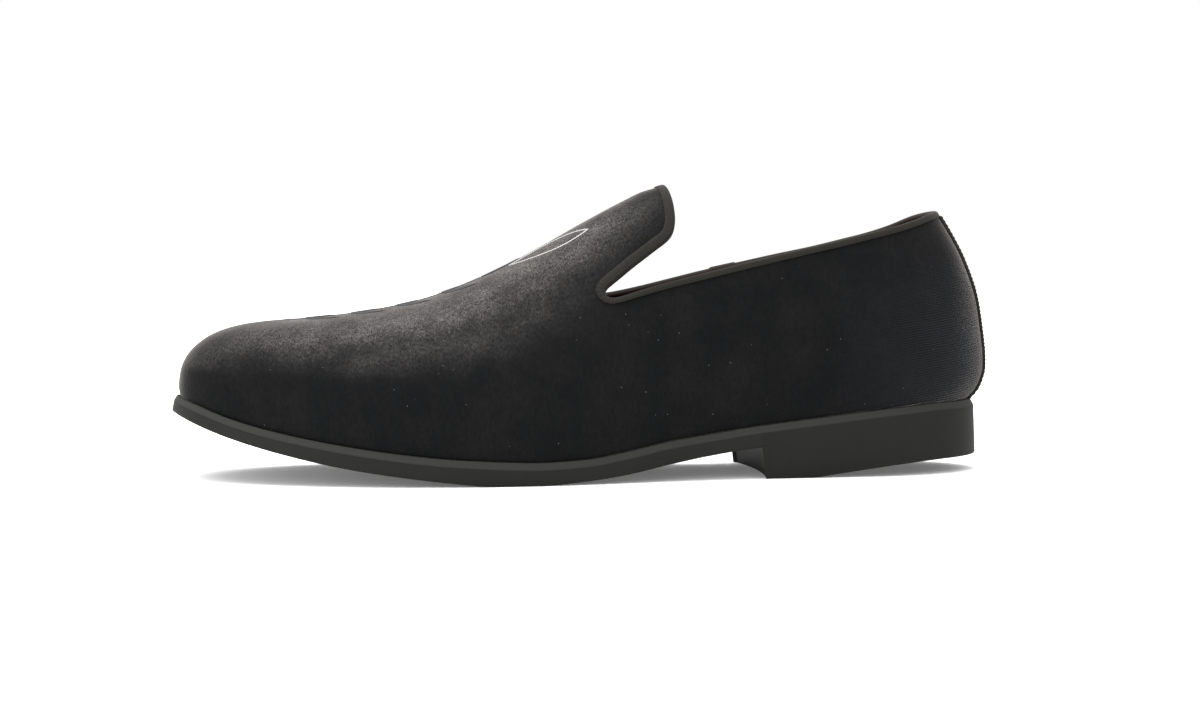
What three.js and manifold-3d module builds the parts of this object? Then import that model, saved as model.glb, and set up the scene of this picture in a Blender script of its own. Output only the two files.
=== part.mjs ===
import * as THREE from 'three';
import { mergeVertices } from 'three/addons/utils/BufferGeometryUtils.js';
import Module from 'manifold-3d';

// A velvet slipper loafer for the left foot, in millimetres, +Z up, standing on the floor at z = 0.
// The toe points to -X and the outer side of the foot faces -Y.
// "Along" is the distance from the toe tip to the back, "side" grows toward the inner side of the foot.

const wasm = await Module();
wasm.setup();

// Main sizes
const SOLE_LENGTH = 297;
const BALL_WIDTH = 104;
const TONGUE_HEIGHT = 105.3;
const SEAT_HEIGHT = 26.2;

// Cloth, ribbon and board
const UPPER_WALL = 2.0;
const BINDING_STAND = 0.5;
const RIBBON_WIDTH = 2.7;
const STRIP_THICKNESS = 0.9;
const STRIP_WIDTH = 12;
const INSOLE_THICKNESS = 3;

// Fits
const SEAM_GAP = 0.3;
const LASTING_INSET = 2.6;
const WALL_SWELL = 7.4;
const INSOLE_CLEARANCE = 0.5;

// Sole
const LIP_HEIGHT = 2.6;
const LIP_SLOPE = 1.3;
const EDGE_FLARE = 0.6;
const BREAST_ALONG = 0.712 * SOLE_LENGTH;
const BREAST_HOLLOW = 3.2;
const BREAST_LEAN = 1.5;

// Poles that the rounded ends are swept about
const TOE_POLE = 0.151 * SOLE_LENGTH;
const HEEL_POLE = 0.86 * SOLE_LENGTH;

// The frame's origin is the middle of the shoe's box, on the floor
const ORIGIN_ALONG = 151;
const ORIGIN_SIDE = -1.9;

// Fineness of the surface
const FAN_STEPS = 9;
const STATION_STEPS = 22;
const EDGE_SAMPLES = 640;
const UNDERSIDE_STEPS = 40;
const ACROSS_STEPS = 16;

// How far the cutting solids reach past the shoe
const CUT_REACH = 90;
const BELOW_FLOOR = -12;
const ABOVE_SHOE = 1.4 * TONGUE_HEIGHT;

// Half widths at the collar's two heights and at the breast's corners, as shares of the ball width
const COLLAR_HALF_SHARE = 0.29;
const BREAST_HALF_SHARE = 0.35;
const SHARPEST_MITER = 0.5;

// Edge of the sole, seen from above
const EDGE_COLUMNS = ['along / sole length', 'side / ball width'];
const SOLE_EDGE = [
  [0.000, 0.035],
  [0.010, -0.110],
  [0.035, -0.210],
  [0.090, -0.318],
  [0.165, -0.411],
  [0.250, -0.472],
  [0.330, -0.497],
  [0.400, -0.500],
  [0.475, -0.474],
  [0.560, -0.422],
  [0.640, -0.374],
  [0.720, -0.345],
  [0.805, -0.333],
  [0.885, -0.312],
  [0.955, -0.222],
  [0.990, -0.105],
  [1.000, 0.000],
  [0.990, 0.112],
  [0.955, 0.228],
  [0.885, 0.307],
  [0.805, 0.304],
  [0.720, 0.279],
  [0.640, 0.262],
  [0.560, 0.285],
  [0.475, 0.350],
  [0.400, 0.420],
  [0.330, 0.460],
  [0.250, 0.466],
  [0.165, 0.430],
  [0.090, 0.362],
  [0.035, 0.268],
  [0.010, 0.176],
];

// Height of the sole's top edge and of its underside
const SOLE_LEVEL_COLUMNS = ['along / sole length', 'top / seat height', 'underside / seat height'];
const SOLE_LEVELS = [
  [0.000, 1.156, 0.912],
  [0.030, 1.031, 0.763],
  [0.065, 0.882, 0.618],
  [0.115, 0.729, 0.454],
  [0.190, 0.561, 0.263],
  [0.250, 0.458, 0.153],
  [0.320, 0.370, 0.053],
  [0.375, 0.332, 0.000],
  [0.430, 0.309, 0.000],
  [0.485, 0.336, 0.042],
  [0.535, 0.420, 0.111],
  [0.590, 0.546, 0.233],
  [0.640, 0.626, 0.332],
  [0.690, 0.706, 0.412],
  [0.745, 0.779, 0.477],
  [0.800, 0.851, 0.550],
  [0.880, 0.947, 0.641],
  [0.945, 0.996, 0.687],
  [1.000, 1.000, 0.695],
];

// Tread of the heel: a resting spot at the front, then a slow rise to the back
const HEEL_TREAD_COLUMNS = ['along / sole length', 'height / seat height'];
const HEEL_TREAD = [
  [0.712, 0.000],
  [0.768, 0.000],
  [0.800, 0.042],
  [0.835, 0.095],
  [0.880, 0.156],
  [0.940, 0.206],
  [1.000, 0.221],
];

// The last: ridge, roundness, lean of the walls and swell past the sole edge
const LAST_COLUMNS = ['along / sole length', 'ridge / tongue height', 'ridge side / ball width', 'round outer',
  'round inner', 'lean', 'outer swell / wall swell', 'inner swell / wall swell'];
const LAST = [
  [0.000, 0.530, 0.038, 2.90, 2.90, 0.00, 0.108, 0.108],
  [0.085, 0.534, 0.038, 3.00, 3.00, 0.00, 0.135, 0.135],
  [0.151, 0.542, 0.038, 2.80, 2.80, 0.00, 0.189, 0.189],
  [0.205, 0.556, 0.038, 2.65, 2.60, 0.00, 0.243, 0.216],
  [0.258, 0.578, 0.038, 2.50, 2.45, 0.00, 0.297, 0.243],
  [0.307, 0.609, 0.038, 2.40, 2.30, 0.00, 0.338, 0.270],
  [0.355, 0.656, 0.038, 2.30, 2.20, 0.00, 0.351, 0.297],
  [0.406, 0.720, 0.033, 2.20, 2.15, 0.00, 0.378, 0.378],
  [0.456, 0.795, 0.028, 2.15, 2.10, 0.00, 0.405, 0.541],
  [0.506, 0.875, 0.020, 2.10, 2.10, 0.00, 0.432, 0.703],
  [0.556, 0.950, 0.010, 2.15, 2.15, 0.00, 0.473, 0.811],
  [0.580, 0.982, 0.005, 2.20, 2.20, 0.00, 0.486, 0.838],
  [0.604, 1.000, 0.000, 2.25, 2.25, 0.01, 0.514, 0.851],
  [0.640, 1.030, -0.005, 2.40, 2.40, 0.02, 0.541, 0.838],
  [0.700, 1.070, -0.010, 2.70, 2.70, 0.04, 0.568, 0.757],
  [0.780, 1.115, -0.008, 2.80, 2.80, 0.06, 0.608, 0.676],
  [0.860, 1.155, 0.000, 2.60, 2.60, 0.11, 0.716, 0.730],
  [1.000, 1.160, 0.000, 2.30, 2.30, 0.168, 1.000, 1.000],
];

// How the swell is shared over the height of the wall
const SWELL_COLUMNS = ['share of height', 'share of swell'];
const SWELL_SHAPE = [
  [0.00, 0.00],
  [0.04, 0.50],
  [0.08, 0.77],
  [0.12, 0.93],
  [0.20, 1.00],
  [0.36, 1.00],
  [0.54, 0.71],
  [0.62, 0.46],
  [0.69, 0.22],
  [0.74, 0.05],
  [0.80, 0.00],
  [1.00, 0.00],
];

// Topline from the back of the collar, along the rim, round the throat and up the tongue
const TOPLINE_COLUMNS = ['along / sole length', 'outer / tongue height', 'inner / tongue height',
  'ribbon / ribbon width'];
const TOPLINE = [
  [0.9529, 0.9150, 0.9150, 1.00],
  [0.9327, 0.9105, 0.8880, 1.00],
  [0.9091, 0.8915, 0.8547, 1.00],
  [0.8822, 0.8690, 0.8290, 1.00],
  [0.8485, 0.8452, 0.8053, 1.00],
  [0.8081, 0.8177, 0.7787, 1.00],
  [0.7609, 0.7882, 0.7521, 1.00],
  [0.7138, 0.7578, 0.7236, 1.00],
  [0.6667, 0.7265, 0.6952, 1.00],
  [0.6263, 0.6990, 0.6676, 1.00],
  [0.5859, 0.6714, 0.6401, 1.03],
  [0.5556, 0.6477, 0.6230, 1.07],
  [0.5340, 0.6296, 0.6154, 1.17],
  [0.5215, 0.6239, 0.6135, 1.27],
  [0.5141, 0.6372, 0.6277, 1.33],
  [0.5178, 0.6581, 0.6505, 1.40],
  [0.5320, 0.6885, 0.6838, 1.43],
  [0.5556, 0.7388, 0.7369, 1.43],
  [0.5791, 0.7854, 0.7854, 1.43],
  [0.6000, 0.8281, 0.8281, 1.40],
  [0.6071, 0.8784, 0.8784, 1.37],
  [0.6081, 0.9402, 0.9402, 1.33],
  [0.6061, 1.0114, 1.0114, 1.30],
];

// Radial shares of the flat bottom of a last volume, and of its wall from the bottom to the ridge
const FLOOR_SHARES = [0, 0.4, 0.75];
const NEAR_EDGE_SHARE = 0.95;
const WALL_SHARES = [0, 0.02, 0.05, 0.09, 0.14, 0.21, 0.29, 0.37, 0.45, 0.53, 0.61, 0.69, 0.77, 0.85,
  0.93, 1];

const columnOf = (columns, name) => columns.indexOf(name);

// Smooth value of a named column, which neither overshoots nor wavers between the table's rows
function tableValue(rows, columns, name, key) {
  const column = columnOf(columns, name);
  const last = rows.length - 1;
  const keys = rows.map((row) => row[0]);
  if (key <= keys[0]) return rows[0][column];
  if (key >= keys[last]) return rows[last][column];
  const i = keys.findIndex((end) => end > key) - 1;
  const slope = (k) => (rows[k + 1][column] - rows[k][column]) / (keys[k + 1] - keys[k]);
  const tangent = (k) => {
    if (k === 0) return slope(0);
    if (k === last) return slope(last - 1);
    const before = slope(k - 1);
    const after = slope(k);
    return before * after <= 0 ? 0 : (2 * before * after) / (before + after);
  };
  const span = keys[i + 1] - keys[i];
  const t = (key - keys[i]) / span;
  const rise = rows[i + 1][column] - rows[i][column];
  const start = span * tangent(i);
  const end = span * tangent(i + 1);
  const bend = 3 * rise - 2 * start - end;
  const twist = start + end - 2 * rise;
  return rows[i][column] + t * (start + t * (bend + t * twist));
}

function soleTop(along) {
  return SEAT_HEIGHT * tableValue(SOLE_LEVELS, SOLE_LEVEL_COLUMNS, 'top / seat height', along / SOLE_LENGTH);
}

function soleUnderside(along) {
  return SEAT_HEIGHT * tableValue(SOLE_LEVELS, SOLE_LEVEL_COLUMNS, 'underside / seat height',
    along / SOLE_LENGTH);
}

function heelTread(along) {
  return SEAT_HEIGHT * tableValue(HEEL_TREAD, HEEL_TREAD_COLUMNS, 'height / seat height', along / SOLE_LENGTH);
}

function lastValue(name, along) {
  return tableValue(LAST, LAST_COLUMNS, name, along / SOLE_LENGTH);
}

function ridgeHeight(along) {
  return TONGUE_HEIGHT * lastValue('ridge / tongue height', along);
}

function ridgeSide(along) {
  return BALL_WIDTH * lastValue('ridge side / ball width', along);
}

// The sole's edge as a closed curve
const edgeAlong = columnOf(EDGE_COLUMNS, 'along / sole length');
const edgeSide = columnOf(EDGE_COLUMNS, 'side / ball width');
const edgeKnots = SOLE_EDGE.map((row) => new THREE.Vector3(
  row[edgeAlong] * SOLE_LENGTH, row[edgeSide] * BALL_WIDTH, 0));
const edgeCurve = new THREE.CatmullRomCurve3(edgeKnots, true, 'centripetal').getPoints(EDGE_SAMPLES);

// Distance from a point inside the sole's edge to that edge, in one direction
function reachToEdge(from, direction) {
  for (let i = 0; i + 1 < edgeCurve.length; i += 1) {
    const a = edgeCurve[i];
    const b = edgeCurve[i + 1];
    const runX = b.x - a.x;
    const runY = b.y - a.y;
    const cross = direction.x * runY - direction.y * runX;
    if (cross === 0) continue;
    const distance = ((a.x - from.x) * runY - (a.y - from.y) * runX) / cross;
    const share = ((a.x - from.x) * direction.y - (a.y - from.y) * direction.x) / cross;
    if (distance > 0 && share >= 0 && share <= 1) return distance;
  }
  throw new Error('the direction misses the edge of the sole');
}

// Spokes around the shoe: fans about the toe and heel poles, straight stations between them
function makeSpokes() {
  const spokes = [];
  const add = (along, angle) => {
    const from = new THREE.Vector2(along, ridgeSide(along));
    const direction = new THREE.Vector2(Math.cos(angle), Math.sin(angle));
    spokes.push({ from, direction, reach: reachToEdge(from, direction), outer: direction.y < 0 });
  };
  const right = Math.PI / 2;
  const stationAt = (i) => TOE_POLE + ((HEEL_POLE - TOE_POLE) * i) / STATION_STEPS;
  for (let i = 0; i < FAN_STEPS; i += 1) add(TOE_POLE, 2 * right + (right * i) / FAN_STEPS);
  for (let i = 0; i < STATION_STEPS; i += 1) add(stationAt(i), 3 * right);
  for (let i = 0; i < 2 * FAN_STEPS; i += 1) add(HEEL_POLE, 3 * right + (right * i) / FAN_STEPS);
  for (let i = STATION_STEPS; i > 0; i -= 1) add(stationAt(i), right);
  for (let i = 0; i < FAN_STEPS; i += 1) add(TOE_POLE, right + (right * i) / FAN_STEPS);
  return spokes;
}

const spokes = makeSpokes();

function pointOnSpoke(spoke, distance, heightAt) {
  const along = spoke.from.x + spoke.direction.x * distance;
  const side = spoke.from.y + spoke.direction.y * distance;
  return new THREE.Vector3(along, side, heightAt(along));
}

// Profile of the last along one spoke, drawn in by an inset and with its floor at a given lift
function lastProfile(spoke, inset, lift) {
  const reach = spoke.reach - LASTING_INSET - inset;
  const edge = pointOnSpoke(spoke, reach, soleTop);
  const roundness = lastValue(spoke.outer ? 'round outer' : 'round inner', edge.x);
  const swell = WALL_SWELL
    * lastValue(spoke.outer ? 'outer swell / wall swell' : 'inner swell / wall swell', edge.x);
  const lean = lastValue('lean', edge.x);
  const points = FLOOR_SHARES.map((share) => (
    pointOnSpoke(spoke, reach * share, (along) => soleTop(along) + lift)));
  WALL_SHARES.forEach((share) => {
    const turn = (share * Math.PI) / 2;
    const norm = (Math.cos(turn) ** roundness + Math.sin(turn) ** roundness) ** (1 / roundness);
    const out = share === 1 ? 0 : Math.cos(turn) / norm;
    const up = share === 1 ? 1 : Math.sin(turn) / norm;
    const bulge = swell * tableValue(SWELL_SHAPE, SWELL_COLUMNS, 'share of swell', up);
    const distance = reach * out * (1 - lean * up) + bulge;
    const base = share === 0 ? lift : SEAM_GAP;
    points.push(pointOnSpoke(spoke, distance, (along) => {
      const foot = soleTop(edge.x) + base;
      return foot + (ridgeHeight(along) - inset - foot) * up;
    }));
  });
  return points;
}

// Profile of the insole along one spoke
function insoleProfile(spoke) {
  const reach = spoke.reach - LASTING_INSET - UPPER_WALL - INSOLE_CLEARANCE;
  const level = (lift) => FLOOR_SHARES.concat(1).map((share) => (
    pointOnSpoke(spoke, reach * share, (along) => soleTop(along) + lift)));
  return level(SEAM_GAP).concat(level(SEAM_GAP + INSOLE_THICKNESS).reverse());
}

// Profile of the sole along one spoke, before its underside is cut
function soleProfile(spoke) {
  const edge = (distance, heightAt) => pointOnSpoke(spoke, distance, heightAt);
  const reach = spoke.reach;
  const top = FLOOR_SHARES.concat(NEAR_EDGE_SHARE).map((share) => edge((reach - LIP_SLOPE) * share, soleTop));
  return [
    edge(0, () => BELOW_FLOOR),
    edge(reach + EDGE_FLARE, () => BELOW_FLOOR),
    edge(reach, (along) => soleTop(along) - LIP_HEIGHT),
    edge(reach - LIP_SLOPE, soleTop),
  ].concat(top.reverse());
}

// Closed solid from triangles, with equal corners joined
function solidFrom(positions) {
  const soup = new THREE.BufferGeometry();
  soup.setAttribute('position', new THREE.Float32BufferAttribute(positions, 3));
  const joined = mergeVertices(soup, 1e-4);
  const index = joined.index.array;
  const kept = [];
  for (let i = 0; i < index.length; i += 3) {
    const [a, b, c] = [index[i], index[i + 1], index[i + 2]];
    if (a !== b && b !== c && c !== a) kept.push(a, b, c);
  }
  return new wasm.Manifold(new wasm.Mesh({
    numProp: 3,
    vertProperties: new Float32Array(joined.attributes.position.array),
    triVerts: new Uint32Array(kept),
  }));
}

function pushQuad(positions, a, b, c, d) {
  [a, b, c, a, c, d].forEach((p) => positions.push(p.x, p.y, p.z));
}

// Solid swept around the shoe from one profile per spoke
function sweepAround(profileOf) {
  const profiles = spokes.map(profileOf);
  const positions = [];
  profiles.forEach((profile, i) => {
    const next = profiles[(i + 1) % profiles.length];
    for (let j = 0; j + 1 < profile.length; j += 1) {
      pushQuad(positions, profile[j], next[j], next[j + 1], profile[j + 1]);
    }
  });
  return solidFrom(positions);
}

// Solid through flat rings that follow each other toward the inner side
function loftAcross(rings) {
  const positions = [];
  const flatten = (ring) => ring.map((p) => new THREE.Vector2(p.x, p.z));
  const clockwise = THREE.ShapeUtils.isClockWise(flatten(rings[0]));
  const ordered = clockwise ? rings.map((ring) => ring.slice().reverse()) : rings;
  for (let r = 0; r + 1 < ordered.length; r += 1) {
    ordered[r].forEach((p, i) => {
      const k = (i + 1) % ordered[r].length;
      pushQuad(positions, p, ordered[r + 1][i], ordered[r + 1][k], ordered[r][k]);
    });
  }
  const near = ordered[0];
  const far = ordered[ordered.length - 1];
  THREE.ShapeUtils.triangulateShape(flatten(near), []).forEach(([a, b, c]) => {
    [near[a], near[b], near[c], far[c], far[b], far[a]].forEach((p) => positions.push(p.x, p.y, p.z));
  });
  return solidFrom(positions);
}

// Topline on one side of the foot, moved down into the cloth by a share of the ribbon and a gap
function toplineRing(side, heightName, ribbonShare, gap) {
  const height = columnOf(TOPLINE_COLUMNS, heightName);
  const ribbon = columnOf(TOPLINE_COLUMNS, 'ribbon / ribbon width');
  const line = TOPLINE.map((row) => (
    new THREE.Vector2(row[0] * SOLE_LENGTH, row[height] * TONGUE_HEIGHT)));
  const moved = line.map((point, i) => {
    const drop = TOPLINE[i][ribbon] * RIBBON_WIDTH * ribbonShare + gap;
    const before = line[Math.max(i - 1, 0)];
    const after = line[Math.min(i + 1, line.length - 1)];
    const into = i > 0 ? point.clone().sub(before).normalize() : new THREE.Vector2(-1, 0);
    const onward = i < line.length - 1 ? after.clone().sub(point).normalize() : into.clone();
    const inward = into.clone().add(onward).normalize();
    const miter = drop / Math.max(inward.dot(onward), SHARPEST_MITER);
    return new THREE.Vector2(point.x - inward.y * miter, point.y + inward.x * miter);
  });
  const start = moved[0];
  const finish = moved[moved.length - 1];
  const behind = SOLE_LENGTH + CUT_REACH;
  const ring = [new THREE.Vector2(behind, start.y), ...moved,
    new THREE.Vector2(finish.x, ABOVE_SHOE), new THREE.Vector2(behind, ABOVE_SHOE)];
  return ring.map((p) => new THREE.Vector3(p.x, side, p.y));
}

// Everything above the topline; the two sides of the collar differ in height
function aboveTopline(ribbonShare, gap) {
  const rim = BALL_WIDTH * COLLAR_HALF_SHARE;
  const outer = toplineRing(-rim, 'outer / tongue height', ribbonShare, gap);
  const inner = toplineRing(rim, 'inner / tongue height', ribbonShare, gap);
  const spread = (share) => outer.map((p, i) => p.clone().lerp(inner[i], share));
  const past = BALL_WIDTH / (4 * rim);
  return loftAcross([spread(-past), spread(1 + past)]);
}

// Everything under the sole: toe spring, arch, hollow heel breast and the tread of the heel
function underSole() {
  const half = BALL_WIDTH * BREAST_HALF_SHARE;
  const rings = [];
  for (let r = 0; r <= ACROSS_STEPS; r += 1) {
    const side = ((2 * r) / ACROSS_STEPS - 1) * BALL_WIDTH;
    const hollow = BREAST_HOLLOW * Math.max(0, 1 - (side / half) ** 2);
    const breast = BREAST_ALONG + hollow;
    const ring = [];
    for (let i = 0; i <= UNDERSIDE_STEPS; i += 1) {
      const along = -CUT_REACH + ((breast - BREAST_LEAN + CUT_REACH) * i) / UNDERSIDE_STEPS;
      ring.push(new THREE.Vector3(along, side, soleUnderside(along)));
    }
    for (let i = 0; i <= UNDERSIDE_STEPS; i += 1) {
      const along = breast + ((SOLE_LENGTH + CUT_REACH - breast) * i) / UNDERSIDE_STEPS;
      ring.push(new THREE.Vector3(along, side, heelTread(along)));
    }
    ring.push(new THREE.Vector3(SOLE_LENGTH + CUT_REACH, side, 2 * BELOW_FLOOR));
    ring.push(new THREE.Vector3(-CUT_REACH, side, 2 * BELOW_FLOOR));
    rings.push(ring);
  }
  return loftAcross(rings);
}

// Strip over the back seam, from the sole to the ribbon of the collar
function backStripRegion() {
  const half = STRIP_WIDTH / 2;
  const ring = (side) => [
    new THREE.Vector3(HEEL_POLE, side, 0),
    new THREE.Vector3(SOLE_LENGTH + CUT_REACH, side, 0),
    new THREE.Vector3(SOLE_LENGTH + CUT_REACH, side, ABOVE_SHOE),
    new THREE.Vector3(HEEL_POLE, side, ABOVE_SHOE),
  ];
  return loftAcross([ring(-half), ring(half)]);
}

function lastSolid(inset, lift) {
  return sweepAround((spoke) => lastProfile(spoke, inset, lift));
}

function shell(outerInset, innerInset) {
  const open = lastSolid(innerInset, BELOW_FLOOR);
  return lastSolid(outerInset, SEAM_GAP).subtract(open);
}

function meshOf(name, solid, colour, roughness) {
  const data = solid.getMesh();
  const geometry = new THREE.BufferGeometry();
  geometry.setAttribute('position', new THREE.Float32BufferAttribute(data.vertProperties, 3));
  geometry.setIndex(new THREE.Uint32BufferAttribute(data.triVerts, 1));
  geometry.translate(-ORIGIN_ALONG, -ORIGIN_SIDE, 0);
  geometry.computeVertexNormals();
  const material = new THREE.MeshStandardMaterial({ color: colour, roughness, metalness: 0 });
  const mesh = new THREE.Mesh(geometry, material);
  mesh.name = name;
  return mesh;
}

const sole = sweepAround(soleProfile).subtract(underSole());
const insole = sweepAround(insoleProfile);
const upper = shell(0, UPPER_WALL).subtract(aboveTopline(1, SEAM_GAP));
const binding = shell(-BINDING_STAND, UPPER_WALL + BINDING_STAND)
  .intersect(aboveTopline(1, 0))
  .subtract(aboveTopline(0, 0));
const strip = shell(-SEAM_GAP - STRIP_THICKNESS, -SEAM_GAP)
  .intersect(backStripRegion())
  .subtract(aboveTopline(1, SEAM_GAP));

const shoe = new THREE.Group();
shoe.name = 'velvet_slipper_loafer';
shoe.add(meshOf('sole', sole, 0x333330, 0.6));
shoe.add(meshOf('upper', upper, 0x1a1a1d, 0.95));
shoe.add(meshOf('topline_binding', binding, 0x46443c, 0.85));
shoe.add(meshOf('back_strip', strip, 0x46443c, 0.85));
shoe.add(meshOf('insole', insole, 0x3a1518, 0.8));

export default shoe;
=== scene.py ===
"""A black velvet slipper loafer for the left foot, dressed and set up as in its photograph.

Sizes are in millimetres on the shoe: "along" runs from the toe tip to the back, "side" grows toward
the inner side of the foot and "up" from the floor. Meshes are placed in metres, in the frame of the
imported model.
"""

import logging
import math
from dataclasses import dataclass, field
from enum import Enum
from functools import partial
from typing import Sequence

import bmesh
import bpy
import numpy as np
from bpy.types import Material, Node, NodeSocket, NodeTree, Object
from mathutils import Matrix, Vector
from mathutils.bvhtree import BVHTree


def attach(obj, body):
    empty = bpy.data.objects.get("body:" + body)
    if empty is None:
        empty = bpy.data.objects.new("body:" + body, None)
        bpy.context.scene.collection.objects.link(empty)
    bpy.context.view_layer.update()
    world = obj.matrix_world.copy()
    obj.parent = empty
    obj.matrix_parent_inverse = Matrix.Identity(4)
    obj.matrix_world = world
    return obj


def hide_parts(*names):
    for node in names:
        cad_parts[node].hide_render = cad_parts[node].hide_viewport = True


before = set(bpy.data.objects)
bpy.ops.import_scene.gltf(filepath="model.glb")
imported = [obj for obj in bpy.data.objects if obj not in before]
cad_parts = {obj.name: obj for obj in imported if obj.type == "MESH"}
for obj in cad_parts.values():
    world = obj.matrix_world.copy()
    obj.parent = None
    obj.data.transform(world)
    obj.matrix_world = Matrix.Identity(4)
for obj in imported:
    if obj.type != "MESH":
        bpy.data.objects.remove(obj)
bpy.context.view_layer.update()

LOG = logging.getLogger("loafer")

Array = np.ndarray

BODY = "root"
MM = 0.001
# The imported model's origin, as a place on the shoe.
SHOE_ORIGIN = np.array((151.0, -1.9, 0.0))
# Points nearer than the first are joined, and edges shorter than the second are dropped, in metres.
JOIN_GAP = 2e-6
LEAST_EDGE = 1e-7
# What a divisor is kept above.
TINY = 1e-12
CLOTH_MAP = "Cloth"
# One wave of a wave texture at a scale of one, in metres.
WAVE_LENGTH = 0.314
# The sockets of a colour Mix node: its share, the colour below and the colour laid over it.
SHARE, UNDER, OVER = 0, 6, 7


class Hand(Enum):
    """A side of the foot, as a sign of the side place."""

    OUTER = -1
    INNER = 1


def linear(colour: str) -> tuple[float, float, float, float]:
    """Turns an sRGB hex colour to linear values.

    Args:
        colour: six hex digits after a hash.

    Returns:
        Linear red, green, blue and an alpha of one.
    """
    parts = [int(colour[i : i + 2], 16) / 255 for i in (1, 3, 5)]
    toned = [c / 12.92 if c <= 0.04045 else ((c + 0.055) / 1.055) ** 2.4 for c in parts]
    return (*toned, 1.0)


def add_node(
    tree: NodeTree,
    kind: str,
    inputs: dict[str | int, object] | None = None,
    **settings: object,
) -> Node:
    """Adds a shader node with its settings, values and links.

    Args:
        tree: the node tree of a material or the world.
        kind: the node's type name after the word ShaderNode.
        inputs: for each named or numbered socket a value, a hex colour, an output, or a node for its
            first output in use.
        settings: the node's own properties.

    Returns:
        The new node.
    """
    node = tree.nodes.new("ShaderNode" + kind)
    for name, value in settings.items():
        setattr(node, name, value)
    for socket, value in (inputs or {}).items():
        if isinstance(value, str):
            value = linear(value)
        elif isinstance(value, Node):
            value = next(output for output in value.outputs if output.enabled)
        if isinstance(value, NodeSocket):
            tree.links.new(value, node.inputs[socket])
        else:
            node.inputs[socket].default_value = value
    return node


@dataclass(frozen=True)
class Table:
    """A short table with named columns, read smoothly by its first column."""

    names: tuple[str, ...]
    rows: tuple[tuple[float, ...], ...]

    def at(self, name: str, key: Array | float) -> Array:
        """Reads a column without overshoot between the rows.

        Args:
            name: the column.
            key: values of the first column to read it at.

        Returns:
            The column's values there.
        """
        grid = np.array(self.rows, dtype=float)
        keys, values = grid[:, 0], grid[:, self.names.index(name)]
        slope = np.diff(values) / np.diff(keys)
        before, after = slope[:-1], slope[1:]
        same_way = before * after > 0
        total = np.where(same_way, before + after, 1.0)
        inner = np.where(same_way, 2 * before * after / total, 0.0)
        tangent = np.concatenate([slope[:1], inner, slope[-1:]])
        place = np.clip(key, keys[0], keys[-1])
        i = np.clip(np.searchsorted(keys, place, side="right") - 1, 0, len(keys) - 2)
        span = keys[i + 1] - keys[i]
        t = (place - keys[i]) / span
        rise = values[i + 1] - values[i]
        start, end = span * tangent[i], span * tangent[i + 1]
        bend, twist = 3 * rise - 2 * start - end, start + end - 2 * rise
        return values[i] + t * (start + t * (bend + t * twist))


def curve(knots: Array, samples: int, looseness: float) -> Array:
    """Draws a smooth curve through knots, without its first and last step.

    Args:
        knots: points of two lengths, with one more at each end to lead the curve in and out.
        samples: points for each step between two knots.
        looseness: 0 where all steps count the same, 0.5 where a longer one has more room to turn.

    Returns:
        The curve's points.
    """
    before, here, after, beyond = knots[:-3], knots[1:-2], knots[2:-1], knots[3:]
    first, mid, last = (np.linalg.norm(b - a, axis=1)[:, None] ** looseness
                        for a, b in ((before, here), (here, after), (after, beyond)))
    leave = (here - before) / first - (after - before) / (first + mid) + (after - here) / mid
    arrive = (after - here) / mid - (beyond - here) / (mid + last) + (beyond - after) / last
    here, rise, leave, arrive = (a[:, None, :] for a in (here, after - here, leave * mid, arrive * mid))
    t = np.linspace(0, 1, samples, endpoint=False)[None, :, None]
    bend, twist = 3 * rise - 2 * leave - arrive, leave + arrive - 2 * rise
    return (here + t * (leave + t * (bend + t * twist))).reshape(-1, 2)


@dataclass
class Spokes:
    """Lines from the middle of the shoe to its edge, all the way round."""

    start: Array
    direction: Array
    reach: Array

    def place(self, distance: Array) -> tuple[Array, Array]:
        """Gives along and side at a distance on each spoke.

        Args:
            distance: one distance for each spoke.

        Returns:
            Along and side, one of each for a spoke.
        """
        spot = self.start + self.direction * distance[:, None]
        return spot[:, 0], spot[:, 1]


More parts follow.
